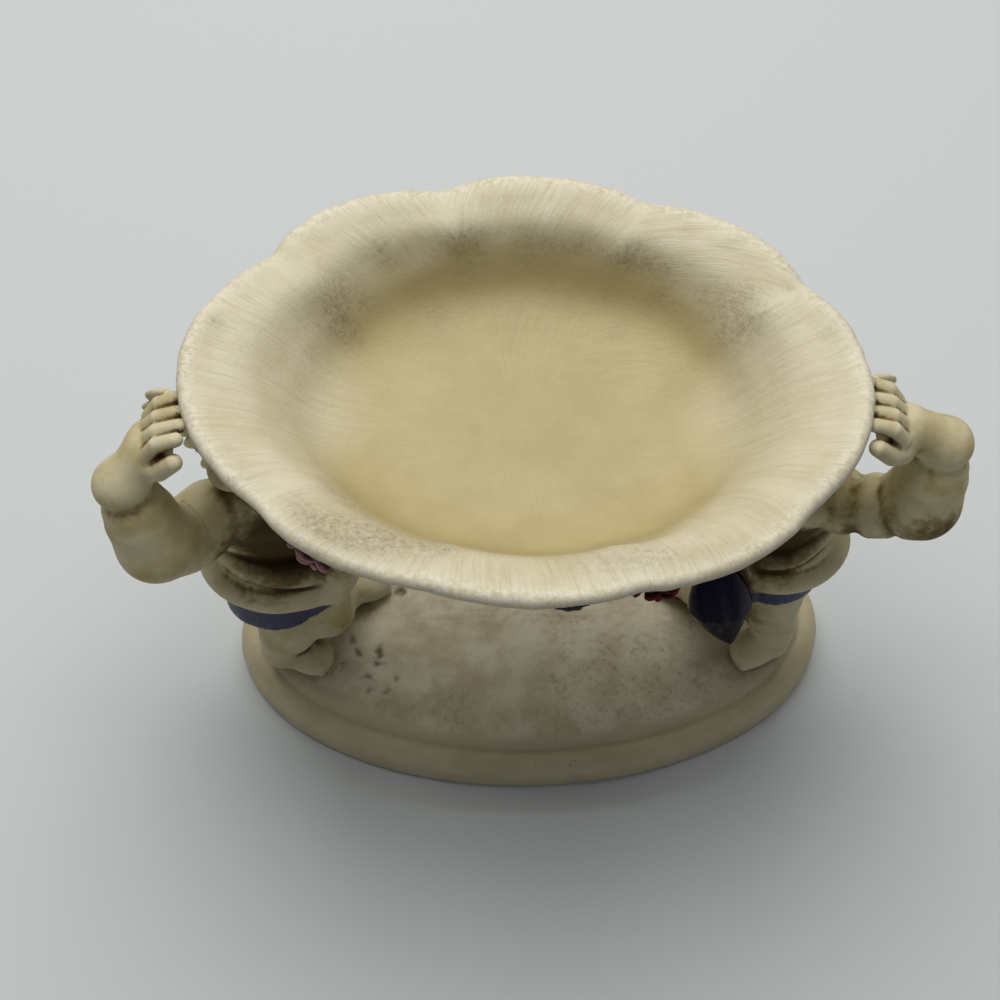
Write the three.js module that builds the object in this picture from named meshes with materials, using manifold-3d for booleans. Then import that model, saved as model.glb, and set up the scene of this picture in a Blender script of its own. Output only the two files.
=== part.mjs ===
import * as THREE from 'three';
import { mergeVertices } from 'three/addons/utils/BufferGeometryUtils.js';
import Module from 'manifold-3d';

// An oval scalloped dish carried by two cherubs on an oval plinth, cast in one piece.
// Millimetres, +Z up, origin under the middle of the plinth. X runs along the dish, the front is -Y.

// Driving dimensions
const PLINTH = { halfLength: 65.4, halfDepth: 36.6, height: 12.6, segments: 44 };
const DISH = {
  halfLength: 63.8, halfDepth: 46, rimHeight: 109, floorHeight: 91, wall: 4,
  x: -2.4, y: 3, twist: -5, segments: 57, endEase: 0.42,
};
const LOBE_NOTCHES = [-139, -104, -69, -32, 33, 70, 108, 145];
const NOTCH_STRENGTH = [0.8, 0.5, 0.6, 0.8, 0.75, 0.75, 0.8, 1.15];
const NOTCH_DEPTH = 2.4;
const CREASE_DEPTH = 1.3;
const LOBE_ROUNDNESS = 0.5;
const GROUP_SHIFT = -2.2;
const BODY = { out: 52.5, bellyWidth: 13, chestWidth: 12.2 };
const HEAD = { out: 53, front: -4, height: 86.5, radius: 10.2, hair: 10.6, curl: 1.9 };
const CLOTH = { waist: 47.5, foldDepth: 0.9, folds: 8 };
const ROLL = { height: 48.2, radius: 5, tilt: 6 };
const TAIL = { centre: [41, 13, 42], halfWidth: 6.6, halfDepth: 4, halfHeight: 20, lean: 7, tip: 1.8 };
const WING = { height: 31, width: 15, thickness: 3.2, spread: 24, feathers: 3 };
const SWAG = { inset: 12.5, height: 96, dip: 4.5, radius: 2.2 };
const ROSES = [
  { angle: -37, inset: 5.4, height: 100.5, radius: 5 },
  { angle: 27, inset: 6.4, height: 100.5, radius: 4.6 },
];
const KNOT = { halfWidth: 6, halfDepth: 5, halfHeight: 7, angle: 12, height: 89, inset: 13.5 };
const LIMB_SIDES = 7;
const BALL = [10, 7];
const SMALL_BALL = [7, 5];

// Each figure's limbs as points [out, front, up] with their radii, and the size of its cloths
const POSES = {
  left: {
    side: -1, clothTail: false,
    arm: [[62, 3.5, 69.5], [67, 8, 69.6], [71.5, 12.4, 75.4]], armRadii: [7.2, 7.6, 7.6],
    wrist: [75.6, 9, 92.5], hand: [66, 3, 103.5],
    leg: [[51.8, 2, 44], [50.2, 5.4, 27.5], [52.4, 8.2, 17]], legRadii: [9.4, 8, 5],
    heel: [52.8, 8.4, 16], toes: [45.9, 10.4, 15],
    skirt: [52, 4], skirtHalf: [11.2, 9.6], hem: 36, roll: [50.3, 1.5], rollHalf: [11.6, 8],
  },
  right: {
    side: 1, clothTail: true,
    arm: [[63, 2.5, 68.2], [70, 5.2, 70.6], [77.6, 6.6, 75.2]], armRadii: [6.8, 6.6, 7.6],
    wrist: [79, 4, 92.5], hand: [65.5, 3, 103.5],
    leg: [[54, 1.5, 44], [54, 4.4, 28], [55, 8.2, 17.5]], legRadii: [8.4, 7.4, 4.6],
    heel: [54.8, 9.4, 16], toes: [50.4, 11, 15],
    skirt: [53.5, 2.4], skirtHalf: [9.7, 8.8], hem: 37.8, roll: [53.6, -0.2], rollHalf: [9.6, 8],
  },
};

const wasm = await Module();
wasm.setup();

const at = (p) => new THREE.Vector3(p[0], p[1], p[2]);
const degrees = THREE.MathUtils.degToRad;
const mix = THREE.MathUtils.lerp;

function signedVolume(position, index) {
  const a = new THREE.Vector3();
  const b = new THREE.Vector3();
  const c = new THREE.Vector3();
  let volume = 0;
  for (let i = 0; i < index.length; i += 3) {
    a.fromBufferAttribute(position, index[i]);
    b.fromBufferAttribute(position, index[i + 1]);
    c.fromBufferAttribute(position, index[i + 2]);
    volume += a.dot(b.cross(c)) / 6;
  }
  return volume;
}

// Turns a closed geometry into a solid with its faces pointing out
function solid(geometry) {
  const bare = geometry.clone();
  bare.deleteAttribute('normal');
  bare.deleteAttribute('uv');
  const merged = mergeVertices(bare, 1e-4);
  const position = merged.getAttribute('position');
  const corners = merged.getIndex().array;
  const index = [];
  for (let i = 0; i < corners.length; i += 3) {
    const [p, q, r] = corners.slice(i, i + 3);
    if (p !== q && q !== r && r !== p) {
      index.push(p, q, r);
    }
  }
  if (signedVolume(position, index) < 0) {
    for (let i = 0; i < index.length; i += 3) {
      [index[i], index[i + 1]] = [index[i + 1], index[i]];
    }
  }
  return new wasm.Manifold(new wasm.Mesh({
    numProp: 3,
    vertProperties: new Float32Array(position.array),
    triVerts: new Uint32Array(index),
  }));
}

function joined(solids) {
  return solids.reduce((whole, piece) => whole.add(piece));
}

function geometryOf(body) {
  const mesh = body.getMesh();
  const geometry = new THREE.BufferGeometry();
  geometry.setAttribute('position', new THREE.BufferAttribute(new Float32Array(mesh.vertProperties), 3));
  geometry.setIndex(new THREE.BufferAttribute(new Uint32Array(mesh.triVerts), 1));
  geometry.computeVertexNormals();
  return geometry;
}

function ball(centre, radii, detail = BALL) {
  const geometry = new THREE.SphereGeometry(1, detail[0], detail[1]);
  geometry.rotateX(Math.PI / 2);
  geometry.scale(radii[0], radii[1], radii[2]);
  geometry.translate(centre[0], centre[1], centre[2]);
  return solid(geometry);
}

// A round limb with rounded ends that follows points, with its own radius at each of them
function limb(points, radii, sides = LIMB_SIDES, steps = 3) {
  const curve = new THREE.CatmullRomCurve3(points.map(at));
  const length = curve.getLength();
  const last = radii[radii.length - 1];
  const radiusAt = (t) => {
    const place = t * (radii.length - 1);
    const first = Math.min(Math.floor(place), radii.length - 2);
    return mix(radii[first], radii[first + 1], place - first);
  };
  const capAngle = degrees(45);
  const profile = [
    new THREE.Vector2(0, -radii[0]),
    new THREE.Vector2(radii[0] * Math.cos(capAngle), -radii[0] * Math.sin(capAngle)),
  ];
  for (let i = 0; i <= steps; i += 1) {
    profile.push(new THREE.Vector2(radiusAt(i / steps), (length * i) / steps));
  }
  profile.push(new THREE.Vector2(last * Math.cos(capAngle), length + last * Math.sin(capAngle)));
  profile.push(new THREE.Vector2(0, length + last));
  const geometry = new THREE.LatheGeometry(profile, sides);
  const frameSteps = 24;
  const frames = curve.computeFrenetFrames(frameSteps, false);
  const position = geometry.getAttribute('position');
  for (let i = 0; i < position.count; i += 1) {
    const along = position.getY(i);
    const t = THREE.MathUtils.clamp(along / length, 0, 1);
    const k = Math.round(t * frameSteps);
    const point = curve.getPointAt(t);
    point.addScaledVector(frames.tangents[k], along - t * length);
    point.addScaledVector(frames.normals[k], position.getX(i));
    point.addScaledVector(frames.binormals[k], position.getZ(i));
    position.setXYZ(i, point.x, point.y, point.z);
  }
  return solid(geometry);
}

// A turned body whose rows are stretched to ovals: shape(row, angle) gives x, y and z of a point
function ovalBody(rows, segments, shape) {
  const geometry = new THREE.LatheGeometry(rows.map((row) => new THREE.Vector2(row.radius, row.z)), segments);
  const position = geometry.getAttribute('position');
  for (let i = 0; i < position.count; i += 1) {
    const row = rows[i % rows.length];
    const step = Math.floor(i / rows.length) % segments;
    const p = row.radius === 0 ? [0, 0, row.z] : shape(row, (step / segments) * 2 * Math.PI);
    position.setXYZ(i, p[0], p[1], p[2]);
  }
  return geometry;
}

// A rounded foot moulding, a groove and a slightly domed top
function plinth() {
  const moulding = [[1.4, 0], [0, 2.6], [0.3, 6.4], [2, 9.2], [5, 10], [5.6, 11.2], [8, 12.1], [20, 12.5]];
  const rows = moulding.map(([inset, z]) => ({ radius: PLINTH.halfLength - inset, inset, z }));
  const closed = [{ radius: 0, z: 0 }, ...rows, { radius: 0, z: PLINTH.height }];
  return solid(ovalBody(closed, PLINTH.segments, (row, angle) => [
    (PLINTH.halfLength - row.inset) * Math.cos(angle),
    (PLINTH.halfDepth - row.inset) * Math.sin(angle),
    row.z,
  ]));
}

// Low at a notch between two lobes, 1 in the middle of a lobe
function lobeAt(angle) {
  const a = THREE.MathUtils.euclideanModulo(THREE.MathUtils.radToDeg(angle) - LOBE_NOTCHES[0], 360);
  const starts = [...LOBE_NOTCHES.map((notch) => notch - LOBE_NOTCHES[0]), 360];
  const lobe = Math.min(starts.findLastIndex((start) => a >= start), LOBE_NOTCHES.length - 1);
  const part = (a - starts[lobe]) / (starts[lobe + 1] - starts[lobe]);
  const notch = part < 0.5 ? lobe : (lobe + 1) % LOBE_NOTCHES.length;
  return 1 - NOTCH_STRENGTH[notch] * (1 - Math.sin(Math.PI * part) ** LOBE_ROUNDNESS);
}

// Rows of the dish: distance in from the rim, height below the rim, strength of the lobes, and how far
// the wall is laid back at the two ends
function dishRow([inset, drop, lobes], ease) {
  const endInset = inset * (1 + ease * THREE.MathUtils.smoothstep(inset, 4, 14));
  return { inset, endInset, lobes, radius: DISH.halfLength - inset, z: DISH.rimHeight - drop };
}

const DISH_UNDER = [
  [30, 22, 0], [20, 19.4, 0.1], [13, 12, 0.5], [9, 7.6, 0.8], [4, 4.6, 1], [0, 2, 1],
].map((row) => dishRow(row, 0));
const DISH_INSIDE = [
  [1.2, 0, 1], [5.5, 0.9, 1], [9.6, 3, 0.9], [13.4, 8.6, 0.5], [18, 14.6, 0.2], [26, 17.4, 0],
].map((row) => dishRow(row, DISH.endEase));

function dishBody(rows) {
  const geometry = ovalBody(rows, DISH.segments, (row, angle) => {
    const notch = (1 - lobeAt(angle)) * row.lobes;
    const x = (DISH.halfLength - row.endInset) * Math.cos(angle);
    const y = (DISH.halfDepth - row.inset) * Math.sin(angle);
    const inward = 1 - (notch * NOTCH_DEPTH) / Math.hypot(x, y);
    return [x * inward, y * inward, row.z - notch * CREASE_DEPTH];
  });
  geometry.rotateZ(degrees(DISH.twist));
  geometry.translate(DISH.x, DISH.y, 0);
  return solid(geometry);
}

function dish() {
  const under = { radius: 0, z: DISH.floorHeight - DISH.wall };
  const floor = { radius: 0, z: DISH.floorHeight };
  return dishBody([under, ...DISH_UNDER, ...DISH_INSIDE, floor]);
}

// The room inside the dish, which heads and hands leave free
function dishRoom() {
  const above = 20;
  const floor = { radius: 0, z: DISH.floorHeight };
  const brim = { ...DISH_INSIDE[0], z: DISH.rimHeight + above };
  const lid = { radius: 0, z: DISH.rimHeight + above };
  return dishBody([floor, ...DISH_INSIDE.slice().reverse(), brim, lid]);
}

// A point on the dish's outer wall, angle in degrees
function onWall(angle, inset, z) {
  const a = degrees(angle);
  const x = (DISH.halfLength - inset) * Math.cos(a);
  const y = (DISH.halfDepth - inset) * Math.sin(a);
  const point = new THREE.Vector3(x, y, z);
  point.applyAxisAngle(new THREE.Vector3(0, 0, 1), degrees(DISH.twist));
  return [point.x + DISH.x, point.y + DISH.y, point.z];
}

// A swag moulded on the wall under the rim: two bows of cloth, a rose at each end and a hanging knot
function swag(middle) {
  const bows = ROSES.map((rose) => {
    const points = [0, 0.5, 1].map((part) => {
      const dip = SWAG.dip * Math.sin(Math.PI * part);
      return onWall(middle + part * rose.angle, SWAG.inset + dip, SWAG.height - dip);
    });
    return limb(points, [SWAG.radius, SWAG.radius * 1.5, SWAG.radius], 5, 4);
  });
  const roses = ROSES.map((rose) => ball(
    onWall(middle + rose.angle, rose.inset, rose.height),
    [rose.radius, rose.radius, rose.radius],
    SMALL_BALL,
  ));
  const knot = ball(
    onWall(middle + KNOT.angle, KNOT.inset, KNOT.height),
    [KNOT.halfWidth, KNOT.halfDepth, KNOT.halfHeight],
    SMALL_BALL,
  );
  return [...bows, ...roses, knot];
}

// Figures are laid out as [out, front, up]: out from the middle of the dish, to the front, height
function placer(side) {
  return (p) => [side * p[0] + GROUP_SHIFT, -p[1], p[2]];
}

function legs(place, pose) {
  const innerLeg = [[45.6, 2, 43], [42.6, 4, 26.5], [39.8, -3.4, 17.2]];
  const innerFoot = [[39.6, -4.4, 15.8], [33.4, -7.4, 14.8]];
  return [
    limb(pose.leg.map(place), pose.legRadii, LIMB_SIDES, 4),
    limb(innerLeg.map(place), [9, 6, 4.3], LIMB_SIDES, 4),
    limb([pose.heel, pose.toes].map(place), [4.1, 3.8], LIMB_SIDES, 1),
    limb(innerFoot.map(place), [4, 3.8], LIMB_SIDES, 1),
  ];
}

function torso(place) {
  return [
    ball(place([BODY.out, -0.8, 57]), [BODY.bellyWidth, 7.6, 11.4]),
    ball(place([BODY.out, 0.4, 68]), [BODY.chestWidth, 7.6, 10]),
    limb([[BODY.out, 0, 72], [HEAD.out, HEAD.front, 81]].map(place), [6, 5.2], LIMB_SIDES, 1),
  ];
}

function arms(place, pose) {
  const elbow = pose.arm[pose.arm.length - 1];
  const inner = { shoulder: [43.5, 2, 72], elbow: [35, 3, 75.5], wrist: [32, 0, 83.4] };
  return [
    limb(pose.arm.map(place), pose.armRadii, LIMB_SIDES, 3),
    limb([elbow, pose.wrist].map(place), [7.6, 5.4], LIMB_SIDES, 1),
    limb([pose.wrist, pose.hand].map(place), [5.2, 4], LIMB_SIDES, 1),
    limb([inner.shoulder, inner.elbow].map(place), [7, 6.2], LIMB_SIDES, 1),
    limb([inner.elbow, inner.wrist].map(place), [6.2, 4.5], LIMB_SIDES, 1),
    ball(place([30, -1, 85.6]), [6, 5.6, 2.8], SMALL_BALL),
  ];
}

// A cap of hair whose rows of points stand out in turn as curls
function hair(place) {
  const around = 14;
  const down = 7;
  const geometry = new THREE.SphereGeometry(1, around, down);
  geometry.rotateX(Math.PI / 2);
  const position = geometry.getAttribute('position');
  for (let i = 0; i < position.count; i += 1) {
    const row = Math.floor(i / (around + 1));
    const column = (i % (around + 1)) % around;
    const raised = row > 0 && row < down && (row + column) % 2 === 0;
    const p = new THREE.Vector3().fromBufferAttribute(position, i).normalize();
    p.multiplyScalar(HEAD.hair + (raised ? HEAD.curl : 0));
    position.setXYZ(i, p.x, p.y, p.z);
  }
  const centre = place([HEAD.out, HEAD.front - 1.6, HEAD.height + 1.4]);
  geometry.translate(centre[0], centre[1], centre[2]);
  return solid(geometry);
}

function head(place) {
  const r = HEAD.radius;
  const feature = (out, front, up, radii) => ball(
    place([HEAD.out + out, HEAD.front + front, HEAD.height + up]),
    radii,
    SMALL_BALL,
  );
  return [
    ball(place([HEAD.out, HEAD.front, HEAD.height]), [r * 0.93, r, r * 1.04]),
    hair(place),
    feature(4, 5, -3.4, [4.2, 4.2, 4.2]),
    feature(-4, 5, -3.4, [4.2, 4.2, 4.2]),
    feature(0, 9.8, -1.4, [1.5, 1.8, 2.2]),
    feature(0, 8, -6.6, [2.8, 2.6, 2.2]),
  ];
}

// A short skirt, its folds behind, and the thick roll of cloth over it that slopes to the inner hip
function loincloth(place, pose) {
  const [skirtWidth, skirtDepth] = pose.skirtHalf;
  const rows = [
    { radius: 0, z: pose.hem },
    { radius: skirtWidth, z: pose.hem },
    { radius: skirtWidth, z: CLOTH.waist },
    { radius: 0, z: CLOTH.waist },
  ];
  const skirt = ovalBody(rows, 24, (row, angle) => {
    const folded = row.z === pose.hem && Math.sin(angle) > 0;
    const fold = folded ? CLOTH.foldDepth * Math.cos(CLOTH.folds * angle) * Math.sin(angle) : 0;
    return [(skirtWidth + fold) * Math.cos(angle), (skirtDepth + fold) * Math.sin(angle), row.z];
  });
  const middle = place([...pose.skirt, 0]);
  skirt.translate(middle[0], middle[1], 0);
  const [rollWidth, rollDepth] = pose.rollHalf;
  const roll = new THREE.TorusGeometry(rollWidth, ROLL.radius, 7, 18);
  const position = roll.getAttribute('position');
  for (let i = 0; i < position.count; i += 1) {
    const nearer = (rollWidth - rollDepth) * (position.getY(i) / rollWidth);
    position.setY(i, position.getY(i) - nearer);
  }
  roll.rotateY(degrees(-pose.side * ROLL.tilt));
  const hips = place([...pose.roll, ROLL.height]);
  roll.translate(hips[0], hips[1], hips[2]);
  return [solid(skirt), solid(roll)];
}

// The end of the cloth that hangs from the hip, round above and pointed below
function clothTail(place) {
  const levels = [-1, -0.75, -0.5, -0.2, 0.2, 0.6, 0.9, 1];
  const rows = levels.map((level) => {
    const above = Math.sqrt(1 - level ** 2) * (1 - 0.15 * level ** 2);
    const wide = level < 0 ? (1 + level) ** 0.75 : above;
    const deep = level < 0 ? 1 + level : above;
    return { radius: wide, deep, level, z: level };
  });
  const geometry = ovalBody(rows, 10, (row, angle) => [
    row.radius * TAIL.halfWidth * Math.cos(angle) + TAIL.tip * Math.min(row.level, 0) ** 2,
    row.deep * TAIL.halfDepth * Math.sin(angle),
    row.z,
  ]);
  const position = geometry.getAttribute('position');
  for (let i = 0; i < position.count; i += 1) {
    const z = position.getZ(i);
    const shift = z === -1 ? TAIL.tip : 0;
    position.setXYZ(i, position.getX(i) + shift, position.getY(i), z * TAIL.halfHeight);
  }
  geometry.rotateY(degrees(-TAIL.lean));
  const centre = place(TAIL.centre);
  geometry.translate(centre[0], centre[1], centre[2]);
  return solid(geometry);
}

// A small wing, its outer edge scalloped by its feathers
function wing(place, outward, out) {
  const { width, height } = WING;
  const shape = new THREE.Shape();
  shape.moveTo(0, 0);
  shape.bezierCurveTo(width * 0.1, height * 0.5, width * 0.3, height * 0.95, width * 0.95, height);
  for (let i = 1; i <= WING.feathers; i += 1) {
    const part = i / WING.feathers;
    const tip = 0.95 - 0.6 * part ** 2;
    const level = mix(1, 0.08, part);
    shape.quadraticCurveTo(width * (tip + 0.28), height * (level + 0.16), width * tip, height * level);
  }
  shape.lineTo(0, 0);
  const geometry = new THREE.ExtrudeGeometry(shape, {
    depth: WING.thickness * 0.5,
    bevelThickness: WING.thickness * 0.25,
    bevelSize: 0.8,
    bevelSegments: 1,
    curveSegments: 3,
  });
  geometry.rotateX(Math.PI / 2);
  geometry.translate(-1, WING.thickness / 2, 0);
  geometry.scale(outward, 1, 1);
  geometry.rotateZ(degrees(outward * WING.spread));
  const root = place([out, -8, 57]);
  geometry.translate(root[0], root[1], root[2]);
  return solid(geometry);
}

function cherub(pose) {
  const place = placer(pose.side);
  const pieces = [
    ...legs(place, pose), ...torso(place), ...arms(place, pose), ...head(place), ...loincloth(place, pose),
    wing(place, pose.side, BODY.out + 3.5), wing(place, -pose.side, BODY.out - 3.5),
  ];
  if (pose.clothTail) {
    pieces.push(clothTail(place));
  }
  return joined(pieces).subtract(dishRoom());
}

const FRONT = -90;
const BACK = 90;
const casting = joined([
  plinth(), dish(), ...swag(FRONT), ...swag(BACK), cherub(POSES.left), cherub(POSES.right),
]);

const material = new THREE.MeshStandardMaterial({ color: 0xd0cab0, roughness: 0.6, metalness: 0 });
const mesh = new THREE.Mesh(geometryOf(casting), material);
mesh.name = 'casting';

const trinketDish = new THREE.Group();
trinketDish.add(mesh);

export default trinketDish;
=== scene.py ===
import math

import bpy
import numpy as np
import openvdb
from mathutils import Matrix


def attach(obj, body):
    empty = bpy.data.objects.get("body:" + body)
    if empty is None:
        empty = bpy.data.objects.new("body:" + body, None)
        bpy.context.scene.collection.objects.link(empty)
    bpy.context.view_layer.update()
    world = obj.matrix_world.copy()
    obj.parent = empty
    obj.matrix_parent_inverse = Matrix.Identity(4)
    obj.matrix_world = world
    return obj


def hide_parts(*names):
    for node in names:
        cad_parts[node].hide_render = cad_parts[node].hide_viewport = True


# An oval scalloped dish carried by two cherubs on an oval plinth, cast in one piece and antiqued.
# All forms are worked out in mm in the object's frame and written to the meshes in metres.

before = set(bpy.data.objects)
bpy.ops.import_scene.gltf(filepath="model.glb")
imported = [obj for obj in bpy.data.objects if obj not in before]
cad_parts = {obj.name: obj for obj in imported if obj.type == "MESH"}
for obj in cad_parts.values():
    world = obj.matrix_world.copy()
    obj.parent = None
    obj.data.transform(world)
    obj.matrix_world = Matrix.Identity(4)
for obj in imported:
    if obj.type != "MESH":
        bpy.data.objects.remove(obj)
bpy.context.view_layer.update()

MM = 0.001
FAR = 4.0
CELL = 0.3
MOST_TRIANGLES = 190000

PLINTH = {"half_length": 65.4, "half_depth": 36.6, "top": 12.6, "segments": 480}
PLINTH_MOULDING = [
    (1.4, 0), (0.5, 0.35), (0.05, 1.4), (0, 2.6), (0.05, 5.0), (0.35, 6.6), (1.0, 8.1), (2.0, 9.2),
    (3.4, 9.75), (4.7, 9.85), (5.15, 10.3), (5.6, 11.2), (6.6, 11.85), (8, 12.1), (12, 12.35), (20, 12.5),
]

DISH = {
    "half_length": 63.8, "half_depth": 46.0, "rim": 109.0, "floor": 91.0, "under": 87.0,
    "x": -2.4, "y": 3.0, "twist": -5.0, "end_ease": 0.42, "segments": 720,
}
LOBE_NOTCHES = [-139, -104, -69, -32, 33, 70, 108, 145]
NOTCH_STRENGTH = [0.8, 0.5, 0.6, 0.8, 0.75, 0.75, 0.8, 1.15]
NOTCH_DEPTH = 2.4
CREASE_DEPTH = 1.3
LOBE_ROUNDNESS = 0.5
NOTCH_SOFTNESS = 0.02

# Rows of the dish: distance in from the rim, height below the rim, strength of the lobes
DISH_UNDER = [(30, 22, 0), (20, 19.4, 0.1), (13, 12, 0.5), (9, 7.6, 0.8), (4, 4.6, 1), (0.3, 2.6, 1)]
DISH_LIP = [(-0.1, 1.7, 1), (0.25, 0.7, 1), (1.2, 0.05, 1), (2.6, 0.15, 1)]
DISH_INSIDE = [
    (5.5, 0.9, 1), (9.6, 3, 0.9), (13.4, 8.6, 0.5), (18, 14.6, 0.2), (25, 17.3, 0), (33, 17.85, 0),
    (40, 18, 0),
]

GROUP_SHIFT = -2.2
# The block of clay that a figure is made in, and the middle of the body
FIGURE_BLOCK = {"inner": 20, "outer": 88.5, "front": 28, "back": 26, "low": 9, "high": 111}
BODY_OUT = 52.5
HEAD = {"out": 53.0, "front": -4.0, "up": 86.5, "hair": 10.4, "curls": 96}
INNER_LEG = {
    "thigh": [(45.6, 2, 43), (44.2, 3.0, 34), (42.6, 4.0, 26.5)], "knee": (42.4, 4.8, 26),
    "shin": [(42.8, 3.4, 26), (41.6, 0.2, 21.5), (39.8, -3.4, 17.2)],
    "heel": (39.6, -4.4, 15.8), "ball": (33.4, -7.4, 14.8),
}
INNER_ARM = [(43.5, 2, 72), (39, 2.8, 74.4), (35, 3, 75.5)]
INNER_FOREARM = [(35, 3, 75.5), (33.4, 1.8, 79.5), (32, 0, 83.4)]
FIGURES = {
    "left": {
        "side": -1, "seed": 11, "cloth_tail": False,
        "arm": [(62, 3.5, 69.5), (67, 8, 69.6), (71.5, 12.4, 75.4)], "arm_radii": (7.2, 7.6, 7.6),
        "wrist": (75.6, 9, 92.5), "hand": (66, 3, 103.5), "folds": (),
        "leg": [(51.8, 2, 44), (51.2, 3.6, 36), (50.2, 5.4, 27.5), (51.2, 7.0, 21.5), (52.4, 8.2, 17)],
        "leg_radii": (9.4, 8.6, 8.0, 6.8, 5.0), "heel": (52.8, 8.4, 16), "ball": (45.9, 10.4, 15),
        "skirt": (52.0, 4.0), "skirt_half": (11.2, 9.6), "hem": 36.0,
        "roll": (50.3, 1.5), "roll_half": (11.8, 8.2), "rise": 1.5,
    },
    "right": {
        "side": 1, "seed": 23, "cloth_tail": True,
        "arm": [(63, 2.5, 68.2), (70, 5.2, 70.6), (77.6, 6.6, 75.2)], "arm_radii": (6.8, 6.6, 7.6),
        "wrist": (79, 4, 92.5), "hand": (65.5, 3, 103.5), "folds": ((0.34, 0.9), (0.72, 0.4)),
        "leg": [(54.0, 1.5, 44), (53.8, 2.2, 36), (54.0, 4.4, 28), (54.6, 6.6, 22), (55.0, 8.2, 17.5)],
        "leg_radii": (8.4, 8.0, 7.4, 5.8, 4.6), "heel": (54.8, 9.4, 16), "ball": (50.4, 11.0, 15),
        "skirt": (53.5, 2.4), "skirt_half": (9.7, 8.8), "hem": 37.8,
        "roll": (53.6, -0.2), "roll_half": (9.8, 8.2), "rise": 4.0,
    },
}
CLOTH = {"waist": 47.5, "fold": 0.9, "folds": 8, "flare": -0.7, "hem_rise": 3.6}
# Where the skirt passes round the inner leg and the seat: out, front, radius
SKIRT_BACK = [(45.4, 1.8, 9.6), (57.0, -3.6, 7.0), (48.4, -3.6, 7.3)]
ROLL = {"height": 48.4, "tilt": 6}
TAIL = {
    "centre": (41.0, 13, 42), "half_width": 6.6, "half_depth": 4, "half_height": 20, "lean": 7,
    "tip": 1.8,
}
# Folds of cloth from the roll up over the belly, measured out from the inner hip
DRAPE = [(1.2, 7.8, 46.4), (-0.8, 7.2, 51), (-1.0, 6.0, 57), (1.4, 4.6, 63), (4.2, 4.4, 69)]
WING = {"aside": 3.5, "root_front": -8, "root_up": 57, "spread": 24}
WING_EDGE = [(0, 1), (1.4, 11), (4.2, 21), (9.4, 27.6), (14, 30)]
FEATHERS = [
    {"count": 7, "start": 0.30, "long": 17.0, "wide": 2.1, "thick": 0.9, "layer": 0.0},
    {"count": 8, "start": 0.16, "long": 10.0, "wide": 1.9, "thick": 0.9, "layer": 0.8},
    {"count": 9, "start": 0.08, "long": 5.6, "wide": 1.6, "thick": 0.9, "layer": 1.5},
]
SWAG = {"inset": 12.5, "height": 96, "dip": 4.5, "radius": 2.2}
ROSES = [
    {"angle": -37, "inset": 5.4, "height": 100.5, "radius": 5.0},
    {"angle": 27, "inset": 6.4, "height": 100.5, "radius": 4.6},
]
KNOT = {"half_width": 6, "half_depth": 5, "half_height": 7, "angle": 12, "height": 89, "inset": 13.5}


# Small maths

def vector(*numbers):
    return np.array(numbers, float)


def unit(v):
    return v / np.linalg.norm(v)


def mix(a, b, part):
    return a + (b - a) * part


def smooth_step(low, high, value):
    part = np.clip((value - low) / (high - low), 0, 1)
    return part * part * (3 - 2 * part)


def turned(dx, dy, dz, axes):
    """The same offsets measured along other axes, given as rows."""
    return [dx * axis[0] + dy * axis[1] + dz * axis[2] for axis in axes]


def blend_corners(values, cell, part, wrap):
    """Values between the eight corners of each cell; cells past wrap start again at the first."""
    total = np.zeros(len(cell))
    for corner in range(8):
        bits = [(corner >> axis) & 1 for axis in range(3)]
        weight = np.ones(len(cell))
        for axis in range(3):
            weight = weight * (part[:, axis] if bits[axis] else 1 - part[:, axis])
        index = tuple((cell[:, axis] + bits[axis]) % wrap for axis in range(3))
        total += weight * values[index]
    return total


def noise(points, scale, seed):
    """Smooth noise from 0 to 1 at points in mm, with bumps about scale mm across."""
    size = 32
    lattice = np.random.default_rng(seed).random((size, size, size)).astype(np.float32)
    place = points / scale + 100.5
    cell = np.floor(place).astype(int)
    part = place - cell
    part = part * part * (3 - 2 * part)
    return blend_corners(lattice, cell, part, size)


def curve_through(points, count):
    """Points spread evenly along a smooth curve through the given rows."""
    rows = np.array(points, float)
    padded = np.vstack([2 * rows[0] - rows[1], rows, 2 * rows[-1] - rows[-2]])
    dense = []
    steps = 24
    for i in range(1, len(padded) - 2):
        before, start, end, after = padded[i - 1], padded[i], padded[i + 1], padded[i + 2]
        for step in range(steps):
            t = step / steps
            dense.append(0.5 * (
                2 * start + (end - before) * t
                + (2 * before - 5 * start + 4 * end - after) * t ** 2
                + (3 * start - before - 3 * end + after) * t ** 3
            ))
    dense.append(rows[-1])
    dense = np.array(dense)
    reach = min(dense.shape[1], 3)
    lengths = np.linalg.norm(np.diff(dense[:, :reach], axis=0), axis=1)
    along = np.concatenate([[0], np.cumsum(lengths)])
    wanted = np.linspace(0, along[-1], count)
    return np.column_stack([np.interp(wanted, along, dense[:, i]) for i in range(dense.shape[1])])


# Meshes

def make_piece(name, points, faces):
    mesh = bpy.data.meshes.new(name)
    mesh.from_pydata((points * MM).tolist(), [], faces)
    mesh.update()
    mesh.polygons.foreach_set("use_smooth", np.ones(len(mesh.polygons), bool))
    piece = bpy.data.objects.new(name, mesh)
    bpy.context.scene.collection.objects.link(piece)
    return piece


def set_values(piece, name, values):
    values = np.asarray(values, np.float32)
    kind = "FLOAT" if values.ndim == 1 else "FLOAT_VECTOR"
    layer = piece.data.attributes.new(name, kind, "POINT")
    layer.data.foreach_set("value" if values.ndim == 1 else "vector", values.ravel())


def points_of(piece):
    points = np.empty(len(piece.data.vertices) * 3, np.float32)
    piece.data.vertices.foreach_get("co", points)
    return points.reshape(-1, 3).astype(float) / MM


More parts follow.
